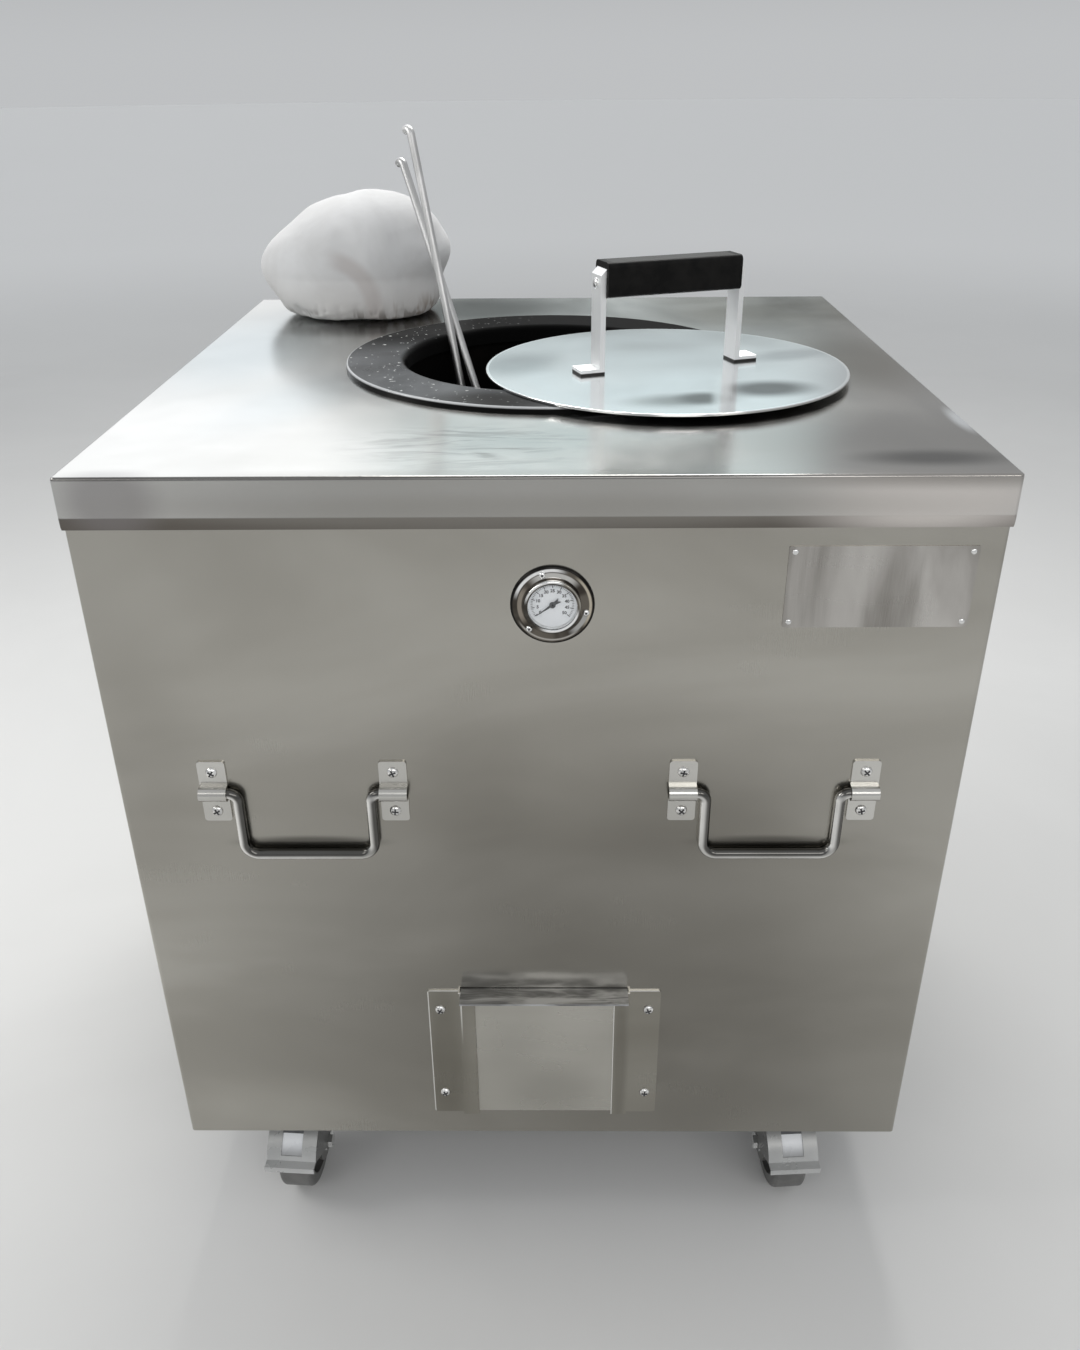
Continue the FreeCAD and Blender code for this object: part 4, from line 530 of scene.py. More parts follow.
clipLook = {
    **panelLook, "dark": (0.56, 0.55, 0.52), "light": (0.72, 0.71, 0.68), "rough": (0.18, 0.28),
    "wave": 0.0004, "waveScale": 20,
}
doorLook = {
    **panelLook, "dark": (0.50, 0.485, 0.44), "light": (0.62, 0.605, 0.555), "rough": (0.26, 0.38),
    "wave": 0.0009, "waveScale": 7.0, "grainTone": 0.0, "grainRough": 0.0, "grainBump": 0.0,
    "shade": rakedShelf,
}
plateLook = {
    **panelLook, "grain": (1600, 1600, 25), "dark": (0.28, 0.265, 0.245), "light": (0.58, 0.56, 0.535),
    "cloud": (22, 4, 5), "rough": (0.20, 0.32), "grainTone": 0.16, "wave": 0.0003,
}
lidLook = {
    "grain": (16, 900, 900), "cloud": (5, 5, 5), "wipe": (9, 6, 6), "dark": (0.735, 0.758, 0.768),
    "light": (0.835, 0.855, 0.865), "line": (0.86, 0.87, 0.88), "grainTone": 0.08, "rough": (0.13, 0.20),
    "waveScale": 7.0, "wave": 0.0007, "grainBump": 0.02, "shade": smearedLid,
}
strapLook = {
    **lidLook, "grain": (900, 900, 20), "dark": (0.90, 0.91, 0.91), "light": (0.96, 0.97, 0.97),
    "rough": (0.44, 0.54), "wave": 0.0002, "waveScale": 20, "shade": blackenedTop,
}
bailLook = {
    "grain": (60, 900, 900), "cloud": (14, 14, 14), "wipe": (20, 20, 20), "dark": (0.68, 0.67, 0.64),
    "light": (0.86, 0.85, 0.83), "line": (0.92, 0.91, 0.90), "grainTone": 0.05, "rough": (0.09, 0.16),
    "waveScale": 40, "wave": 0.0001, "grainBump": 0.01, "shade": tarnishedRod,
}
zincLook = {
    "grain": (500, 500, 500), "cloud": (60, 60, 60), "wipe": (45, 45, 45), "dark": (0.72, 0.72, 0.71),
    "light": (0.90, 0.90, 0.89), "line": (0.9, 0.9, 0.9), "grainTone": 0.05, "rough": (0.16, 0.30),
    "waveScale": 60, "wave": 0.0001, "grainBump": 0.02,
}
polishLook = {
    "grain": (300, 300, 300), "cloud": (34, 34, 34), "wipe": (40, 40, 40), "dark": (0.28, 0.265, 0.235),
    "light": (0.60, 0.59, 0.565), "line": (0.7, 0.7, 0.7), "grainTone": 0.02, "rough": (0.08, 0.16),
    "waveScale": 42, "wave": 0.0004, "grainBump": 0.0,
}
flangeLook = {
    **polishLook,
    "shade": spunArcs(flangeReflections, (0.0326, 0.0333), (0.055, 0.048, 0.041), (0.15, 0.135, 0.115)),
}
bezelLook = {
    **polishLook, "shade": spunArcs(bezelReflections, (0.0300, 0.0310), (0.05, 0.045, 0.040), (0.14, 0.128, 0.11)),
}
caseLook = {**zincLook, "shade": blackSpindle}
screwLook = {
    **zincLook, "dark": (0.60, 0.595, 0.58), "light": (0.93, 0.925, 0.91), "cloud": (160, 160, 160),
}
rodLook = {
    **zincLook, "grain": (30, 30, 30), "cloud": (9, 9, 9), "wipe": (7, 7, 7), "dark": (0.50, 0.50, 0.495),
    "light": (0.64, 0.64, 0.635), "rough": (0.36, 0.46), "grainBump": 0.0, "wave": 0.0, "waveScale": 5,
}
steels = {
    "panelSteel": panelLook, "frontSteel": frontLook, "clipSteel": clipLook, "coverSteel": coverLook,
    "guideSteel": guideLook, "doorSteel": doorLook, "plateSteel": plateLook, "lidSteel": lidLook,
    "strapSteel": strapLook, "bailSteel": bailLook, "zincSteel": zincLook, "caseSteel": caseLook,
    "screwSteel": screwLook, "flangeSteel": flangeLook, "bezelSteel": bezelLook, "rodSteel": rodLook,
}
finishes = {name: grainedSteel(name, look) for name, look in steels.items()}


# Coats: cast iron, clay, wool, paint, ink, plastic and rubber, with mottling and a little bump
coat = {
    "metal": 0.0, "shine": 0.5, "mottleNoise": (5.0, 0.6, 0.4), "toneSpan": (0.33, 0.68),
    "roughSpan": (0.30, 0.70), "pitNoise": (4.0, 0.65),
}


def coated(name, look):
    finish, tree, shader = newFinish(
        name, Metallic=look.get("metal", coat["metal"]), Specular_IOR_Level=look.get("shine", coat["shine"]),
    )
    spread = placeOn(tree)
    mottle = noiseOn(tree, spread, look["mottle"], *coat["mottleNoise"])
    tone = mixTones(tree, ramp(tree, mottle, *coat["toneSpan"]), look["dark"], look["light"])
    if "shade" in look:
        tone = look["shade"](tree, tone)
    wire(tree, tone, shader, "Base Color")
    rough = ramp(tree, mottle, *coat["roughSpan"], look["rough"])
    for duller in look.get("duller", []):
        more = ramp(tree, alongAxis(tree, duller["axis"]), *duller["span"], (0.0, duller["more"]))
        rough = sums(tree, "ADD", rough, more)
    wire(tree, rough, shader, "Roughness")
    pitted = noiseOn(tree, spread, look["pit"], *coat["pitNoise"])
    addBump(tree, shader, pitted, look["bump"], look["depth"])
    return finish


# Mouth ring: a sooted bore taken to near black as painted shade, painted darkening toward the back, painted
# shade next to the lid, ash dust toward the front left, a painted highlight on the outer rim and painted
# shade on its side
mouthShadeAndDust = {
    "middle": (0.010, 0.014), "bore": (0.1605, 0.1555), "spotNoise": (240, 0.5, 0.5),
    "spotSpan": (0.735, 0.765), "rim": (0.2138, 0.2148), "side": (0.8690, 0.8675),
    "nearBlack": (0.004, 0.004, 0.004), "bright": (0.50, 0.51, 0.52), "dust": (0.70, 0.71, 0.70),
    "dustFrom": (0.02, -0.15), "backFrom": (-0.02, 0.12), "backShadeTone": (0.012, 0.012, 0.012),
    "patches": [
        {"middle": (-0.050, -0.180, 0), "half": (0.06, 0.035, 0), "share": 0.9,
         "tone": (0.006, 0.0055, 0.005)},
    ],
}


def wornMouth(tree, tone):
    wear = mouthShadeAndDust
    across, along, up = (alongAxis(tree, axis) for axis in "XYZ")
    away = radiusFrom(tree, wear["middle"])
    spots = ramp(tree, noiseOn(tree, placeOn(tree), *wear["spotNoise"]), *wear["spotSpan"])
    # Painted darkening toward the back
    tone = mixTones(tree, ramp(tree, along, *wear["backFrom"]), tone, wear["backShadeTone"])
    # Painted shade next to the lid
    tone = layPatches(tree, tone, wear["patches"])
    tone = mixTones(tree, times(tree, spots, ramp(tree, across, *wear["dustFrom"])), tone, wear["dust"])
    # Painted highlight on the outer rim
    tone = mixTones(tree, ramp(tree, away, *wear["rim"]), tone, wear["bright"])
    # Painted shade on the ring's side
    tone = mixTones(tree, ramp(tree, up, *wear["side"]), tone, wear["nearBlack"])
    # Soot in the bore, taken to near black as painted shade
    return mixTones(tree, ramp(tree, away, *wear["bore"]), tone, wear["nearBlack"])


ironLook = {
    "duller": [{"axis": "Y", "span": (0.0, 0.10), "more": 0.5},
               {"axis": "X", "span": (-0.10, -0.04), "more": 0.40}],
    "metal": 0.2, "shine": 0.09, "mottle": 18, "dark": (0.050, 0.053, 0.056), "light": (0.090, 0.095, 0.10),
    "rough": (0.26, 0.38), "pit": 300, "bump": 0.20, "depth": 0.0005, "shade": wornMouth,
}
grateLook = {
    "metal": 0.5, "mottle": 26, "dark": (0.010, 0.010, 0.010), "light": (0.03, 0.028, 0.026),
    "rough": (0.6, 0.8), "pit": 300, "bump": 0.4, "depth": 0.0008,
}
# Clay pot: soot, taken to near black as painted shade deep in the pot
clayLook = {
    "mottle": 9, "dark": (0.004, 0.004, 0.004), "light": (0.012, 0.010, 0.009), "rough": (0.8, 0.95),
    "pit": 160, "bump": 0.6, "depth": 0.002, "shine": 0.1,
}
brickLook = {
    "mottle": 20, "dark": (0.30, 0.22, 0.16), "light": (0.48, 0.37, 0.27), "rough": (0.8, 0.95), "pit": 300,
    "bump": 0.5, "depth": 0.001,
}
woolLook = {
    "mottle": 40, "dark": (0.40, 0.36, 0.22), "light": (0.62, 0.58, 0.40), "rough": (0.9, 1.0), "pit": 700,
    "bump": 0.8, "depth": 0.002,
}
primerLook = {
    "mottle": 16, "dark": (0.16, 0.165, 0.17), "light": (0.24, 0.245, 0.25), "rough": (0.45, 0.6), "pit": 500,
    "bump": 0.15, "depth": 0.0004,
}
dialLook = {
    "mottle": 90, "dark": (0.86, 0.88, 0.91), "light": (0.91, 0.93, 0.95), "rough": (0.5, 0.6), "pit": 900,
    "bump": 0.03, "depth": 0.0002,
}
inkLook = {
    "mottle": 200, "dark": (0.012, 0.012, 0.014), "light": (0.03, 0.03, 0.034), "rough": (0.4, 0.55),
    "pit": 900, "bump": 0.03, "depth": 0.0001,
}
gripLook = {
    "mottle": 60, "dark": (0.006, 0.006, 0.006), "light": (0.012, 0.0115, 0.011), "rough": (0.42, 0.52),
    "pit": 240, "bump": 0.03, "depth": 0.0004, "shine": 0.08,
}

# Brake pedals: painted shade toward the top and on the flanks; the insert has a painted shade line near its
# top standing for a groove, and painted shade toward its foot
insertLow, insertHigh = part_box("front_left_pedal_insert")
pedalShade = {
    "top": (0.062, 0.106), "topShare": 0.62, "topShadeTone": (0.20, 0.203, 0.198), "flank": (0.75, 0.95),
    "flankShare": 0.85, "footShare": 0.9, "flankShadeTone": (0.09, 0.088, 0.084),
    "strip": (insertHigh.z - 0.0065, 0.0009), "grooveShadeTone": (0.12, 0.125, 0.13),
    "foot": (insertHigh.z - 0.012, insertLow.z), "footShadeTone": (0.34, 0.345, 0.35),
}


def agedPedal(tree, tone):
    wear = pedalShade
    # Painted shade toward the top
    top = ramp(tree, alongAxis(tree, "Z"), *wear["top"], (0.0, wear["topShare"]))
    tone = mixTones(tree, top, tone, wear["topShadeTone"])
    # Painted shade on the flanks
    side = sums(tree, "ABSOLUTE", facingTo(tree, (1, 0, 0)), 0.0)
    flank = ramp(tree, side, *wear["flank"], (0.0, wear["flankShare"]))
    return mixTones(tree, flank, tone, wear["flankShadeTone"])


def stripedInsert(tree, tone):
    wear = pedalShade
    up = alongAxis(tree, "Z")
    # Painted shade toward the insert's foot
    tone = mixTones(tree, ramp(tree, up, *wear["foot"], (0.0, wear["footShare"])), tone, wear["footShadeTone"])
    # Painted shade line standing for a groove
    return mixTones(tree, bandAt(tree, up, *wear["strip"]), tone, wear["grooveShadeTone"])


pedalLook = {
    "metal": 0.25, "mottle": 14, "dark": (0.52, 0.525, 0.52), "light": (0.62, 0.625, 0.62),
    "rough": (0.24, 0.34), "pit": 300, "bump": 0.03, "depth": 0.0003, "shade": agedPedal,
}
forkLook = {
    "metal": 0.6, "mottle": 18, "dark": (0.15, 0.148, 0.142), "light": (0.22, 0.217, 0.21),
    "rough": (0.30, 0.42), "pit": 400, "bump": 0.05, "depth": 0.0003,
}
insertLook = {
    "mottle": 30, "dark": (0.80, 0.82, 0.85), "light": (0.88, 0.90, 0.92), "rough": (0.22, 0.34), "pit": 400,
    "bump": 0.03, "depth": 0.0002, "shade": stripedInsert,
}
treadLook = {
    "mottle": 30, "dark": (0.10, 0.099, 0.096), "light": (0.16, 0.158, 0.154), "rough": (0.36, 0.50),
    "pit": 500, "bump": 0.08, "depth": 0.0003,
}
coats = {
    "castIron": ironLook, "sootedIron": grateLook, "sootAndShadeClay": clayLook, "hearthBrick": brickLook,
    "packedWool": woolLook, "greyPrimer": primerLook, "dialPaint": dialLook, "blackInkAndShade": inkLook,
    "gripPlastic": gripLook, "pedalPaint": pedalLook, "forkPaint": forkLook, "insertPlastic": insertLook,
    "castorTread": treadLook,
}
finishes.update({name: coated(name, look) for name, look in coats.items()})


# Gauge glass: a clear pane with a trace of dust
def clearGlass(name, look):
    finish, tree, shader = newFinish(name, Alpha=look["alpha"], IOR=look["bend"])
    finish.surface_render_method = "BLENDED"
    dust = noiseOn(tree, placeOn(tree), *look["dustNoise"])
    wire(tree, ramp(tree, dust, *look["roughSpan"], look["rough"]), shader, "Roughness")
    tone = mixTones(tree, ramp(tree, dust, *look["toneSpan"]), look["clear"], look["hazy"])
    wire(tree, tone, shader, "Base Color")
    return finish


finishes["gaugeGlass"] = clearGlass("gaugeGlass", {
    "alpha": 0.05, "bend": 1.45, "dustNoise": (260, 3.0, 0.6), "roughSpan": (0.35, 0.75),
    "rough": (0.02, 0.08), "toneSpan": (0.3, 0.8), "clear": (0.86, 0.89, 0.90), "hazy": (0.78, 0.81, 0.82),
})
print("finishes made:", len(bpy.data.materials))

# Each CAD node takes its finish: first match by name wins
finishOf = [
    ("top_cover", "coverSteel"), ("front_panel", "frontSteel"), ("_panel", "panelSteel"),
    ("door_guide_screws", "screwSteel"), ("_door_guide", "guideSteel"), ("ash_door", "doorSteel"),
    ("name_plate_rivets", "zincSteel"), ("name_plate", "plateSteel"), ("lid_disc", "lidSteel"),
    ("lid_strap", "strapSteel"), ("lid_grip_screws", "zincSteel"), ("lid_grip", "gripPlastic"),
    ("gauge_flange", "flangeSteel"), ("gauge_bezel", "bezelSteel"), ("gauge_case", "caseSteel"),
    ("gauge_dial", "dialPaint"), ("gauge_pointer", "blackInkAndShade"), ("gauge_lens", "gaugeGlass"),
    ("gauge_screws", "zincSteel"), ("_straps", "clipSteel"), ("_bail", "bailSteel"),
    ("handle_screws", "screwSteel"), ("mouth_ring", "castIron"), ("fire_grate", "sootedIron"),
    ("clay_pot", "sootAndShadeClay"), ("hearth_slab", "hearthBrick"), ("insulation_fill", "packedWool"),
    ("corner_posts", "greyPrimer"), ("base_tray", "greyPrimer"), ("ash_throat", "greyPrimer"),
    ("_wheel", "castorTread"), ("_castor_plate", "forkPaint"), ("_fork", "forkPaint"),
    ("_insert", "insertPlastic"), ("_pedal", "pedalPaint"), ("_axle", "zincSteel"),
    ("castor_bolts", "zincSteel"), ("_rod", "rodSteel"),
]
for name, piece in nodes.items():
    for word, finish in finishOf:
        if word in name:
            piece.data.materials.clear()
            piece.data.materials.append(finishes[finish])
            break
print("CAD nodes dressed")


def meshPiece(name, build, finish, body):
    mesh = bpy.data.meshes.new(name)
    shape = bmesh.new()
    build(shape)
    bmesh.ops.recalc_face_normals(shape, faces=shape.faces)
    shape.to_mesh(mesh)
    shape.free()
    mesh.materials.append(finish)
    piece = bpy.data.objects.new(name, mesh)
    scene.collection.objects.link(piece)
    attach(piece, body)
    return piece


# A closed block with the given outline, between a front and a back level
def addBlock(shape, outline, frontLevel, backLevel):
    front, back = ([shape.verts.new((x, y, z)) for x, z in outline] for y in (frontLevel, backLevel))
    shape.faces.new(front)
    shape.faces.new(back[::-1])
    count = len(outline)
    for k in range(count):
        shape.faces.new((front[k], back[k], back[(k + 1) % count], front[(k + 1) % count]))


# Dial print: an outer ring of ticks and plain numbers, laid on the dial's face
dial = {
    "ticks": 50, "longEach": 5, "from": 215, "sweep": 252, "outer": 0.0180, "short": 0.0016, "long": 0.0030,
    "thin": 0.00036, "thick": 0.00066, "lift": 0.00006, "numbers": range(0, 51, 5),
    "numberAt": 0.0124, "numberSize": 0.0038, "bold": 0.00012, "inkDepth": 0.00012,
}
dialLow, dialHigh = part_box("gauge_dial")
dialMiddle = (dialLow + dialHigh) / 2
dialMiddle.y = dialLow.y - dial["lift"]


def dialPoint(angle, radius, side=0.0):
    a = math.radians(angle)
    out, along = Vector((math.cos(a), 0, math.sin(a))), Vector((math.sin(a), 0, -math.cos(a)))
    return dialMiddle + out * radius + along * side


def drawTicks(shape):
    for i in range(dial["ticks"] + 1):
        angle = dial["from"] - dial["sweep"] * i / dial["ticks"]
        major = i % dial["longEach"] == 0
        outer = dial["outer"]
        inner = outer - (dial["long"] if major else dial["short"])
        half = (dial["thick"] if major else dial["thin"]) / 2
        corners = ((inner, -half), (outer, -half), (outer, half), (inner, half))
        outline = [dialPoint(angle, radius, side).xz for radius, side in corners]
        addBlock(shape, outline, dialMiddle.y - dial["inkDepth"], dialMiddle.y)


meshPiece("dial_ticks", drawTicks, finishes["blackInkAndShade"], "cabinet")
for i, number in enumerate(dial["numbers"]):
    words = bpy.data.curves.new(f"dial_number_{number}", "FONT")
    words.body = str(number)
    words.size = dial["numberSize"]
    words.extrude = dial["inkDepth"] / 2
    words.offset = dial["bold"]
    words.align_x, words.align_y = "CENTER", "CENTER"
    words.materials.append(finishes["blackInkAndShade"])
    label = bpy.data.objects.new(f"dial_number_{number}", words)
    scene.collection.objects.link(label)
    angle = dial["from"] - dial["sweep"] * i / (len(dial["numbers"]) - 1)
    label.location = dialPoint(angle, dial["numberAt"])
    label.rotation_euler = (math.radians(90), 0, 0)
    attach(label, "cabinet")
print("dial printed")

# Screw recesses: a black cross in each head on the front, and a six-sided one round the gauge, put in as
# painted shade where the recesses are
recesses = {
    "cross": ("door_guide_screws", "handle_screws"), "hex": ("gauge_screws",), "arm": 0.58, "armWide": 0.14,
    "hexWide": 0.36, "proud": 0.00005, "deep": 0.0006, "turn": 0.5, "turnEach": 1.3, "digits": 4,
}


# A screw's mesh comes in loose groups: the head's face, its underside, the shank and the shank's end
def groupsOf(name):
    shape = bmesh.new()
    shape.from_mesh(nodes[name].data)
    left = set(shape.verts)
    groups = []
    while left:
        group, edge = set(), [left.pop()]
        while edge:
            vert = edge.pop()
            group.add(vert)
            for link in vert.link_edges:
                other = link.other_vert(vert)
                if other in left:
                    left.discard(other)
                    edge.append(other)
        across, along, up = zip(*(nodes[name].matrix_world @ v.co for v in group))
        middle = Vector(((min(across) + max(across)) / 2, min(along), (min(up) + max(up)) / 2))
        groups.append((middle, (max(across) - min(across)) / 2))
    shape.free()
    return groups


def crossOutline(radius, turn):
    arm, wide = radius * recesses["arm"], radius * recesses["armWide"]
    points = []
    for k in range(4):
        for x, z in ((arm, -wide), (arm, wide), (wide, wide)):
            a = turn + k * math.pi / 2
            points.append((x * math.cos(a) - z * math.sin(a), x * math.sin(a) + z * math.cos(a)))
    return points


def hexOutline(radius):
    wide = radius * recesses["hexWide"]
    return [(wide * math.cos(k * math.tau / 6), wide * math.sin(k * math.tau / 6)) for k in range(6)]


# Screw by screw, then front to back and wide before narrow, so that each run turns them alike
def placeAndSize(group):
    middle, radius = group
    return [round(size, recesses["digits"]) for size in (middle.x, middle.z, middle.y, -radius)]


# Each group takes a recess, and only the one in the head's face shows
def drawRecesses(shape):
    for name in recesses["cross"] + recesses["hex"]:
        for i, (middle, radius) in enumerate(sorted(groupsOf(name), key=placeAndSize)):
            outline = hexOutline(radius)
            if name in recesses["cross"]:
                outline = crossOutline(radius, recesses["turn"] + recesses["turnEach"] * i)
            outline = [(middle.x + x, middle.z + z) for x, z in outline]
            # Black block standing as painted shade in the recess
            addBlock(shape, outline, middle.y - recesses["proud"], middle.y + recesses["deep"])


meshPiece("screw_recesses", drawRecesses, finishes["blackInkAndShade"], "cabinet")
print("screw recesses made")

# Bread pad: stuffed cotton, swollen as cloth from its CAD solid, then gathered round its foot
pad = {
    "voxel": 0.0042, "shrink": 0.985, "frames": 20, "pressure": 4.0, "cap": 0.006,
    "pleats": {
        "count": 46, "deep": 0.0075, "rise": 0.026, "uneven": 0.9, "unevenAt": (5, 7.3), "slant": 0.35,
        "slantAt": (3, 1.7), "usual": 0.55, "vary": 0.9, "varyAt": (9, 4.1), "narrow": 0.13, "swell": 0.25,
    },
    "tip": {"drop": 0.006, "side": (0.62, 1.0), "high": (0.30, 0.55)},
    "full": {"out": 0.013, "rise": 0.05, "ends": (0.55, 0.95), "foot": (0.0, 0.004)},
    "bulge": {"out": 0.003, "at": (0.076, 0.026), "side": (0.4, 0.95)},
    "taper": {"in": 0.015, "at": (0.84, 0.20), "side": (0.35, 0.80)},
    "notch": {"deep": 0.007, "at": (0.046, 0.020), "side": (0.45, 0.9)},
    "dent": {"deep": 0.0024, "scale": 9.0, "at": Vector((3, 1, 5))},
    "crease": {"deep": 0.0034, "from": 0.12, "scale": (30, 12, 24), "slope": (16, 10)},
}
padLow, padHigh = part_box("bread_pad")
padMiddle = (padLow + padHigh) / 2
padHalf = (padHigh - padLow) / 2
padMesh = nodes["bread_pad"].data.copy()
padMesh.name = "pad_cover"
padPiece = bpy.data.objects.new("pad_cover", padMesh)
scene.collection.objects.link(padPiece)
bpy.context.view_layer.objects.active = padPiece
remesh = padPiece.modifiers.new("remesh", "REMESH")
remesh.mode = "VOXEL"
remesh.voxel_size = pad["voxel"]


def takeShape(piece):
    shown = piece.evaluated_get(bpy.context.evaluated_depsgraph_get())
    fixed = bpy.data.meshes.new_from_object(shown)
    piece.modifiers.clear()
    old, piece.data = piece.data, fixed
    bpy.data.meshes.remove(old)


takeShape(padPiece)
for vert in padPiece.data.vertices:
    vert.co = padMiddle + (vert.co - padMiddle) * pad["shrink"]
before = [vert.co.copy() for vert in padPiece.data.vertices]
cloth = padPiece.modifiers.new("swell", "CLOTH")
cloth.settings.use_pressure = True
cloth.settings.uniform_pressure_force = pad["pressure"]
cloth.settings.effector_weights.gravity = 0
for step in range(1, pad["frames"] + 1):
    scene.frame_set(step)
takeShape(padPiece)
for vert, start in zip(padPiece.data.vertices, before):
    move = vert.co - start
    if move.length > pad["cap"]:
        vert.co = start + move * (pad["cap"] / move.length)


def easeIn(value, low, high):
    t = min(1.0, max(0.0, (value - low) / (high - low)))
    return t * t * (3 - 2 * t)


# Bell-shaped share of 1 at the middle
def bell(value, middle, half):
    return math.exp(-((value - middle) / half) ** 2)


def noiseRound(angle, size, level):
    return noise.noise(Vector((math.cos(angle) * size, math.sin(angle) * size, level)))


# Each pleat is a narrow valley between two soft bulges, spaced unevenly and slanted a little
def gatherAt(angle, rise):
    pleats = pad["pleats"]
    uneven = angle * pleats["count"] / math.tau + pleats["uneven"] * noiseRound(angle, *pleats["unevenAt"])
    slant = pleats["slant"] * noiseRound(angle, *pleats["slantAt"])
    off = (uneven + slant * rise / pleats["rise"]) % 1 - 0.5
    depth = pleats["usual"] + pleats["vary"] * noiseRound(angle, *pleats["varyAt"])
    return max(0.0, depth) * (bell(off, 0.0, pleats["narrow"]) - pleats["swell"])


tip, full, bulge, taper, notch, dent, crease = (
    pad[part] for part in ("tip", "full", "bulge", "taper", "notch", "dent", "crease")
)
for vert in padPiece.data.vertices:
    rise = vert.co.z - padLow.z
    side = (vert.co.x - padMiddle.x) / padHalf.x
    high = rise / (2 * padHalf.z)
    out = Vector((vert.co.x - padMiddle.x, vert.co.y - padMiddle.y, 0)).normalized()
    lean = (vert.co - padMiddle).normalized()
    angle = math.atan2(out.y, out.x)
    vert.co.z -= tip["drop"] * easeIn(-side, *tip["side"]) * easeIn(high, *tip["high"])
    ends = 1 - easeIn(abs(side), *full["ends"])
    vert.co += out * (full["out"] * ends * max(0.0, 1 - rise / full["rise"]) * easeIn(rise, *full["foot"]))
    vert.co += out * (bulge["out"] * bell(rise, *bulge["at"]) * easeIn(side, *bulge["side"]))
    vert.co.x += taper["in"] * easeIn(-side, *taper["side"]) * bell(high, *taper["at"])
    pinch = bell(rise, *notch["at"]) * easeIn(side, *notch["side"])
    vert.co -= out * (notch["deep"] * pinch)
    fade = max(0.0, 1 - rise / pad["pleats"]["rise"])
    vert.co -= out * (gatherAt(angle, rise) * pad["pleats"]["deep"] * fade)
    vert.co += lean * (noise.noise(vert.co * dent["scale"] + dent["at"]) * dent["deep"])
    x, y, z = vert.co
    wideX, wideY, wideZ = crease["scale"]
    slopeX, slopeZ = crease["slope"]
    fold = noise.noise(Vector((x * wideX + z * slopeX, y * wideY, z * wideZ - x * slopeZ)))
    vert.co -= lean * (max(0.0, fold - crease["from"]) * crease["deep"])
    vert.co.z = max(vert.co.z, padLow.z)
smoother = padPiece.modifiers.new("smooth", "SUBSURF")
smoother.levels = smoother.render_levels = 1
for face in padPiece.data.polygons:
    face.use_smooth = True


# Cotton: woven threads, faint soiling, an old ring mark and brown gathers low on the right
def padCloth(look):
    finish, tree, shader = newFinish("padCotton", **look["sockets"])
    spread = placeOn(tree)
    across, up = alongAxis(tree, "X"), alongAxis(tree, "Z")
    mottle = noiseOn(tree, spread, *look["mottleNoise"])
    tone = mixTones(tree, ramp(tree, mottle, *look["toneSpan"]), look["dark"], look["light"])
    low = times(tree, ramp(tree, up, *look["lowFrom"]), look["lowShare"])
    tone = mixTones(tree, low, tone, look["lowTone"])
    mark = look["mark"]
    away = lengthOf(tree, placeOn(tree, (1, 0, 1), shift=(-mark["at"][0], 0, -mark["at"][1])))
    ring = times(
        tree, ramp(tree, away, *mark["inside"]), ramp(tree, away, *mark["outside"]),
        ramp(tree, across, *mark["rightOf"]), ramp(tree, mottle, *mark["span"], mark["shares"]),
    )
    tone = mixTones(tree, ring, tone, mark["tone"])
    streak = noiseOn(tree, placeOn(tree, look["soilScale"]), *look["soilNoise"])
    soil = times(
        tree, ramp(tree, streak, *look["soilSpan"]), ramp(tree, up, *look["soilFrom"]),
        ramp(tree, across, *look["soilRight"]),
    )
    tone = mixTones(tree, soil, tone, look["soilTone"])
    folds = noiseOn(tree, placeOn(tree, look["foldScale"]), *look["foldNoise"])
    folds = times(
        tree, ramp(tree, folds, *look["foldSpan"]), ramp(tree, up, *look["foldFrom"]), look["foldShare"],
    )
    tone = mixTones(tree, folds, tone, look["foldTone"])
    wire(tree, tone, shader, "Base Color")
    weave = {"Vector": spread, "Scale": look["thread"], "Distortion": look["threadBend"]}
    threads = [addNode(tree, "TexWave", weave, bands_direction=way).outputs["Fac"] for way in ("X", "Z")]
    addBump(tree, shader, sums(tree, "ADD", *threads), look["weave"], look["weaveDepth"])
    return finish


padPiece.data.materials.clear()
padPiece.data.materials.append(padCloth({
    "sockets": {"Roughness": 0.9, "Sheen_Weight": 0.15, "Specular_IOR_Level": 0.2},
    "mottleNoise": (11, 4.0, 0.6, 0.5), "toneSpan": (0.3, 0.7), "dark": (0.60, 0.60, 0.60),
    "light": (0.68, 0.685, 0.69), "thread": 420, "threadBend": 0.6, "weave": 0.18, "weaveDepth": 0.0003,
    "lowFrom": (0.940, 0.868), "lowShare": 0.55, "lowTone": (0.52, 0.50, 0.475), "soilScale": (90, 60, 14),
    "soilNoise": (1.0, 2.0, 0.6), "soilSpan": (0.50, 0.66), "soilFrom": (0.900, 0.872),
    "soilRight": (-0.215, -0.165), "soilTone": (0.26, 0.21, 0.17), "foldScale": (110, 80, 10),
    "foldNoise": (1.0, 1.0, 0.5), "foldSpan": (0.56, 0.66), "foldFrom": (0.884, 0.871), "foldShare": 0.7,
    "foldTone": (0.22, 0.20, 0.185),
    "mark": {
        "at": (-0.262, 0.880), "inside": (0.044, 0.054), "outside": (0.074, 0.062),
        "rightOf": (-0.268, -0.235), "span": (0.25, 0.6), "shares": (0.35, 0.62), "tone": (0.44, 0.40, 0.385),
    },
}))
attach(padPiece, "bread_pad")
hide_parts("bread_pad")
print("pad made:", len(padPiece.data.vertices), "points")

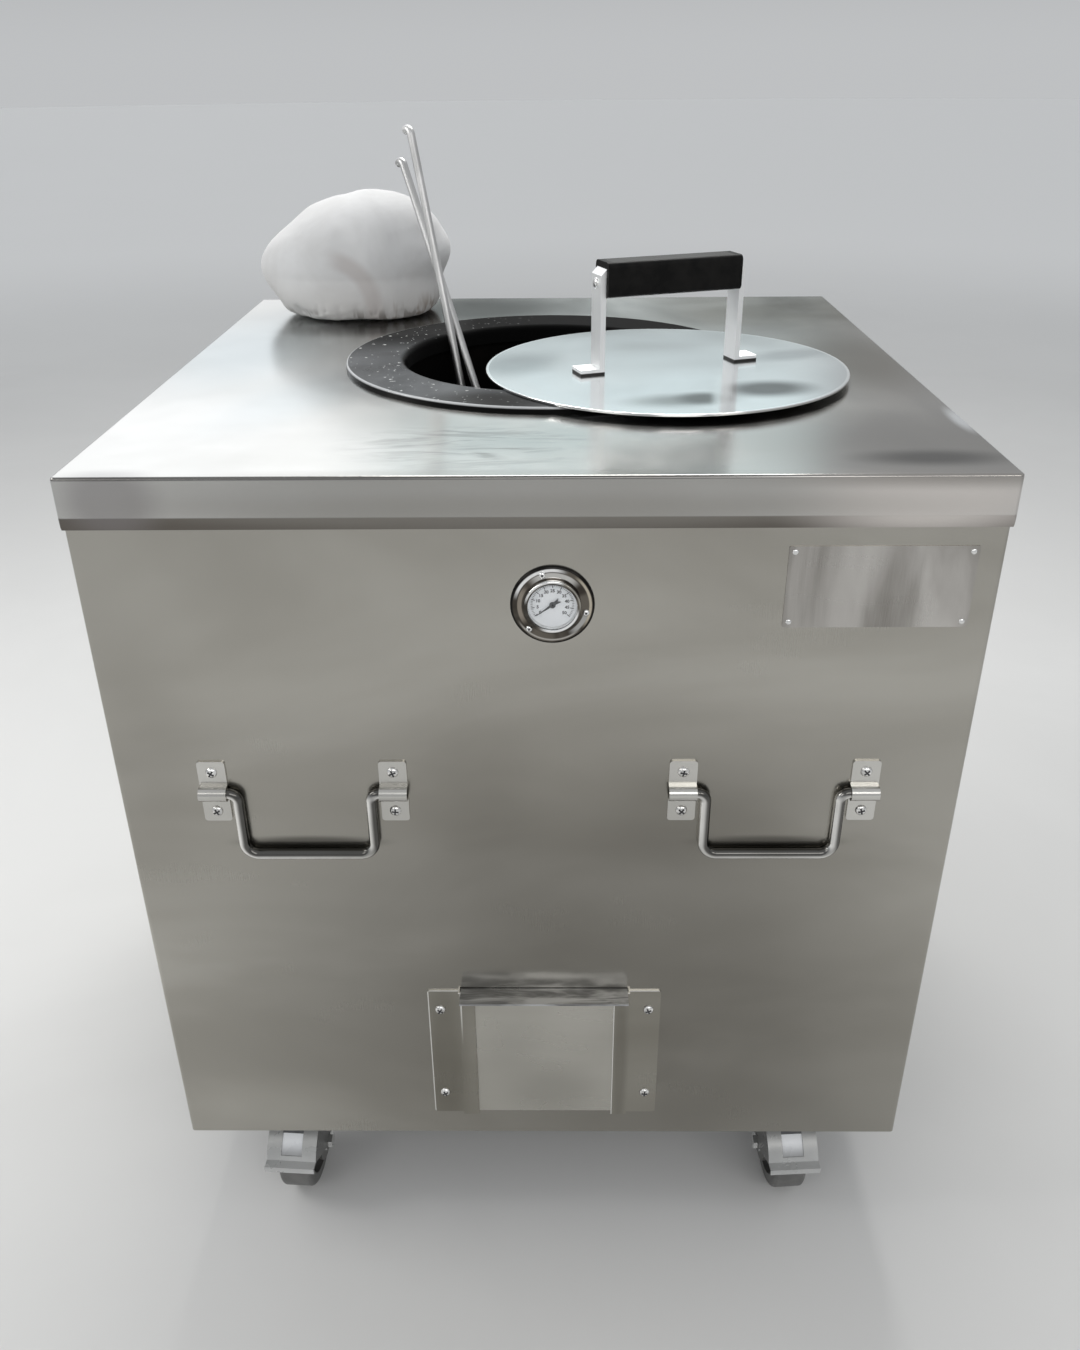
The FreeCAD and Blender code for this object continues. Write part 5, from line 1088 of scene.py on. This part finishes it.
# Studio: pale floor with painted light, darker near the object and paler far off, soft lamps and a pale sky
# with two brighter windows and a dim strip low behind
studio = {
    "floor": 40.0, "corners": 96, "floorDark": (0.62, 0.62, 0.615), "floorLight": (0.66, 0.66, 0.655),
    "far": (2.5, 8.0), "farTone": (0.90, 0.90, 0.90),
}


# Painted light: the floor's colour pales with distance from the object
def palerFar(tree, tone):
    far = ramp(tree, radiusFrom(tree, (0.0, 0.0)), *studio["far"])
    return mixTones(tree, far, tone, studio["farTone"])


floorMesh = bpy.data.meshes.new("studioFloor")
floorShape = bmesh.new()
bmesh.ops.create_circle(floorShape, cap_ends=True, segments=studio["corners"], radius=studio["floor"])
floorShape.to_mesh(floorMesh)
floorShape.free()
floor = bpy.data.objects.new("studioFloor", floorMesh)
scene.collection.objects.link(floor)
floorMesh.materials.append(coated("floorPaint", {
    "mottle": 0.8, "dark": studio["floorDark"], "light": studio["floorLight"], "rough": (0.75, 0.85),
    "pit": 90, "bump": 0.02, "depth": 0.001, "shine": 0.2, "shade": palerFar,
}))
floor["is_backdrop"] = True
lamps = [
    {"name": "backKeyLamp", "at": (0.1, 1.5, 2.7), "look": (0.0, -0.2, 0.5), "size": (1.3, 0.9), "power": 46,
     "tone": (1.0, 0.99, 0.97)},
    {"name": "leftKeyLamp", "at": (-2.3, -0.2, 2.1), "look": (-0.1, 0.1, 0.7), "size": (1.2, 1.2),
     "power": 22, "tone": (1.0, 0.99, 0.97)},
    {"name": "frontFillLamp", "at": (0.3, -2.5, 2.0), "look": (0.0, -0.3, 0.6), "size": (1.2, 1.0),
     "power": 8, "tone": (1.0, 0.99, 0.98)},
    {"name": "rightFloorLamp", "at": (1.9, -2.9, 2.3), "look": (1.2, -2.6, 0.0), "size": (1.2, 1.2),
     "power": 13, "tone": (1.0, 0.97, 0.94)},
    {"name": "leftFloorLamp", "at": (-1.9, -2.6, 2.2), "look": (-1.1, -2.0, 0.0), "size": (1.2, 1.2),
     "power": 9, "tone": (1.0, 0.98, 0.95)},
]
for lamp in lamps:
    data = bpy.data.lights.new(lamp["name"], "AREA")
    data.shape = "RECTANGLE"
    data.size, data.size_y = lamp["size"]
    data.energy = lamp["power"]
    data.color = lamp["tone"]
    lampObject = bpy.data.objects.new(lamp["name"], data)
    scene.collection.objects.link(lampObject)
    lampObject.location = lamp["at"]
    aim = Vector(lamp["look"]) - Vector(lamp["at"])
    lampObject.rotation_euler = aim.to_track_quat("-Z", "Y").to_euler()
    lampObject.visible_camera = False
sky = {
    "horizon": 0.53, "low": 0.46, "high": 0.58, "haze": (0.0, 0.10), "climb": (0.10, 0.6),
    "tint": (0.98, 1.0, 1.02),
    "windows": [
        {"sides": (-44, -34, -12, -6), "rise": (6, 14, 26, 38), "tone": (1.08, 1.10, 1.12)},
        {"sides": (-12, -6, 11.5, 15), "rise": (11, 13.5, 28, 40), "tone": (0.36, 0.47, 0.48)},
        {"sides": (-13, -9, 12, 18), "rise": (-2, 0, 10.2, 12), "tone": (-0.34, -0.36, -0.38)},
    ],
}
world = bpy.data.worlds.new("studioSky")
scene.world = world
world.use_nodes = True
air = world.node_tree
facing = addNode(air, "TexCoord").outputs["Generated"]
east, north, upward = addNode(air, "SeparateXYZ", {"Vector": facing}).outputs
heading = sums(air, "ARCTAN2", east, north)
haze = ramp(air, upward, *sky["haze"], (sky["horizon"], sky["low"]))
climb = ramp(air, upward, *sky["climb"], (0.0, sky["high"] - sky["low"]))
level = sums(air, "ADD", haze, climb)
glow = scaled(air, sky["tint"], level)
# The windows and the dim strip show in the steel; the camera itself sees plain sky
unseen = sums(air, "SUBTRACT", 1.0, addNode(air, "LightPath").outputs["Is Camera Ray"])
for window in sky["windows"]:
    sides = [math.radians(a) for a in window["sides"]]
    rises = [math.sin(math.radians(a)) for a in window["rise"]]
    share = times(
        air, ramp(air, heading, *sides[:2]), ramp(air, heading, sides[3], sides[2]),
        ramp(air, upward, *rises[:2]), ramp(air, upward, rises[3], rises[2]), unseen,
    )
    pane = scaled(air, window["tone"], share)
    glow = addNode(air, "VectorMath", {0: glow, 1: pane}, operation="ADD").outputs["Vector"]
air.links.new(glow, air.nodes["Background"].inputs["Color"])
print("studio lit:", len(lamps), "lamps")

low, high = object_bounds()
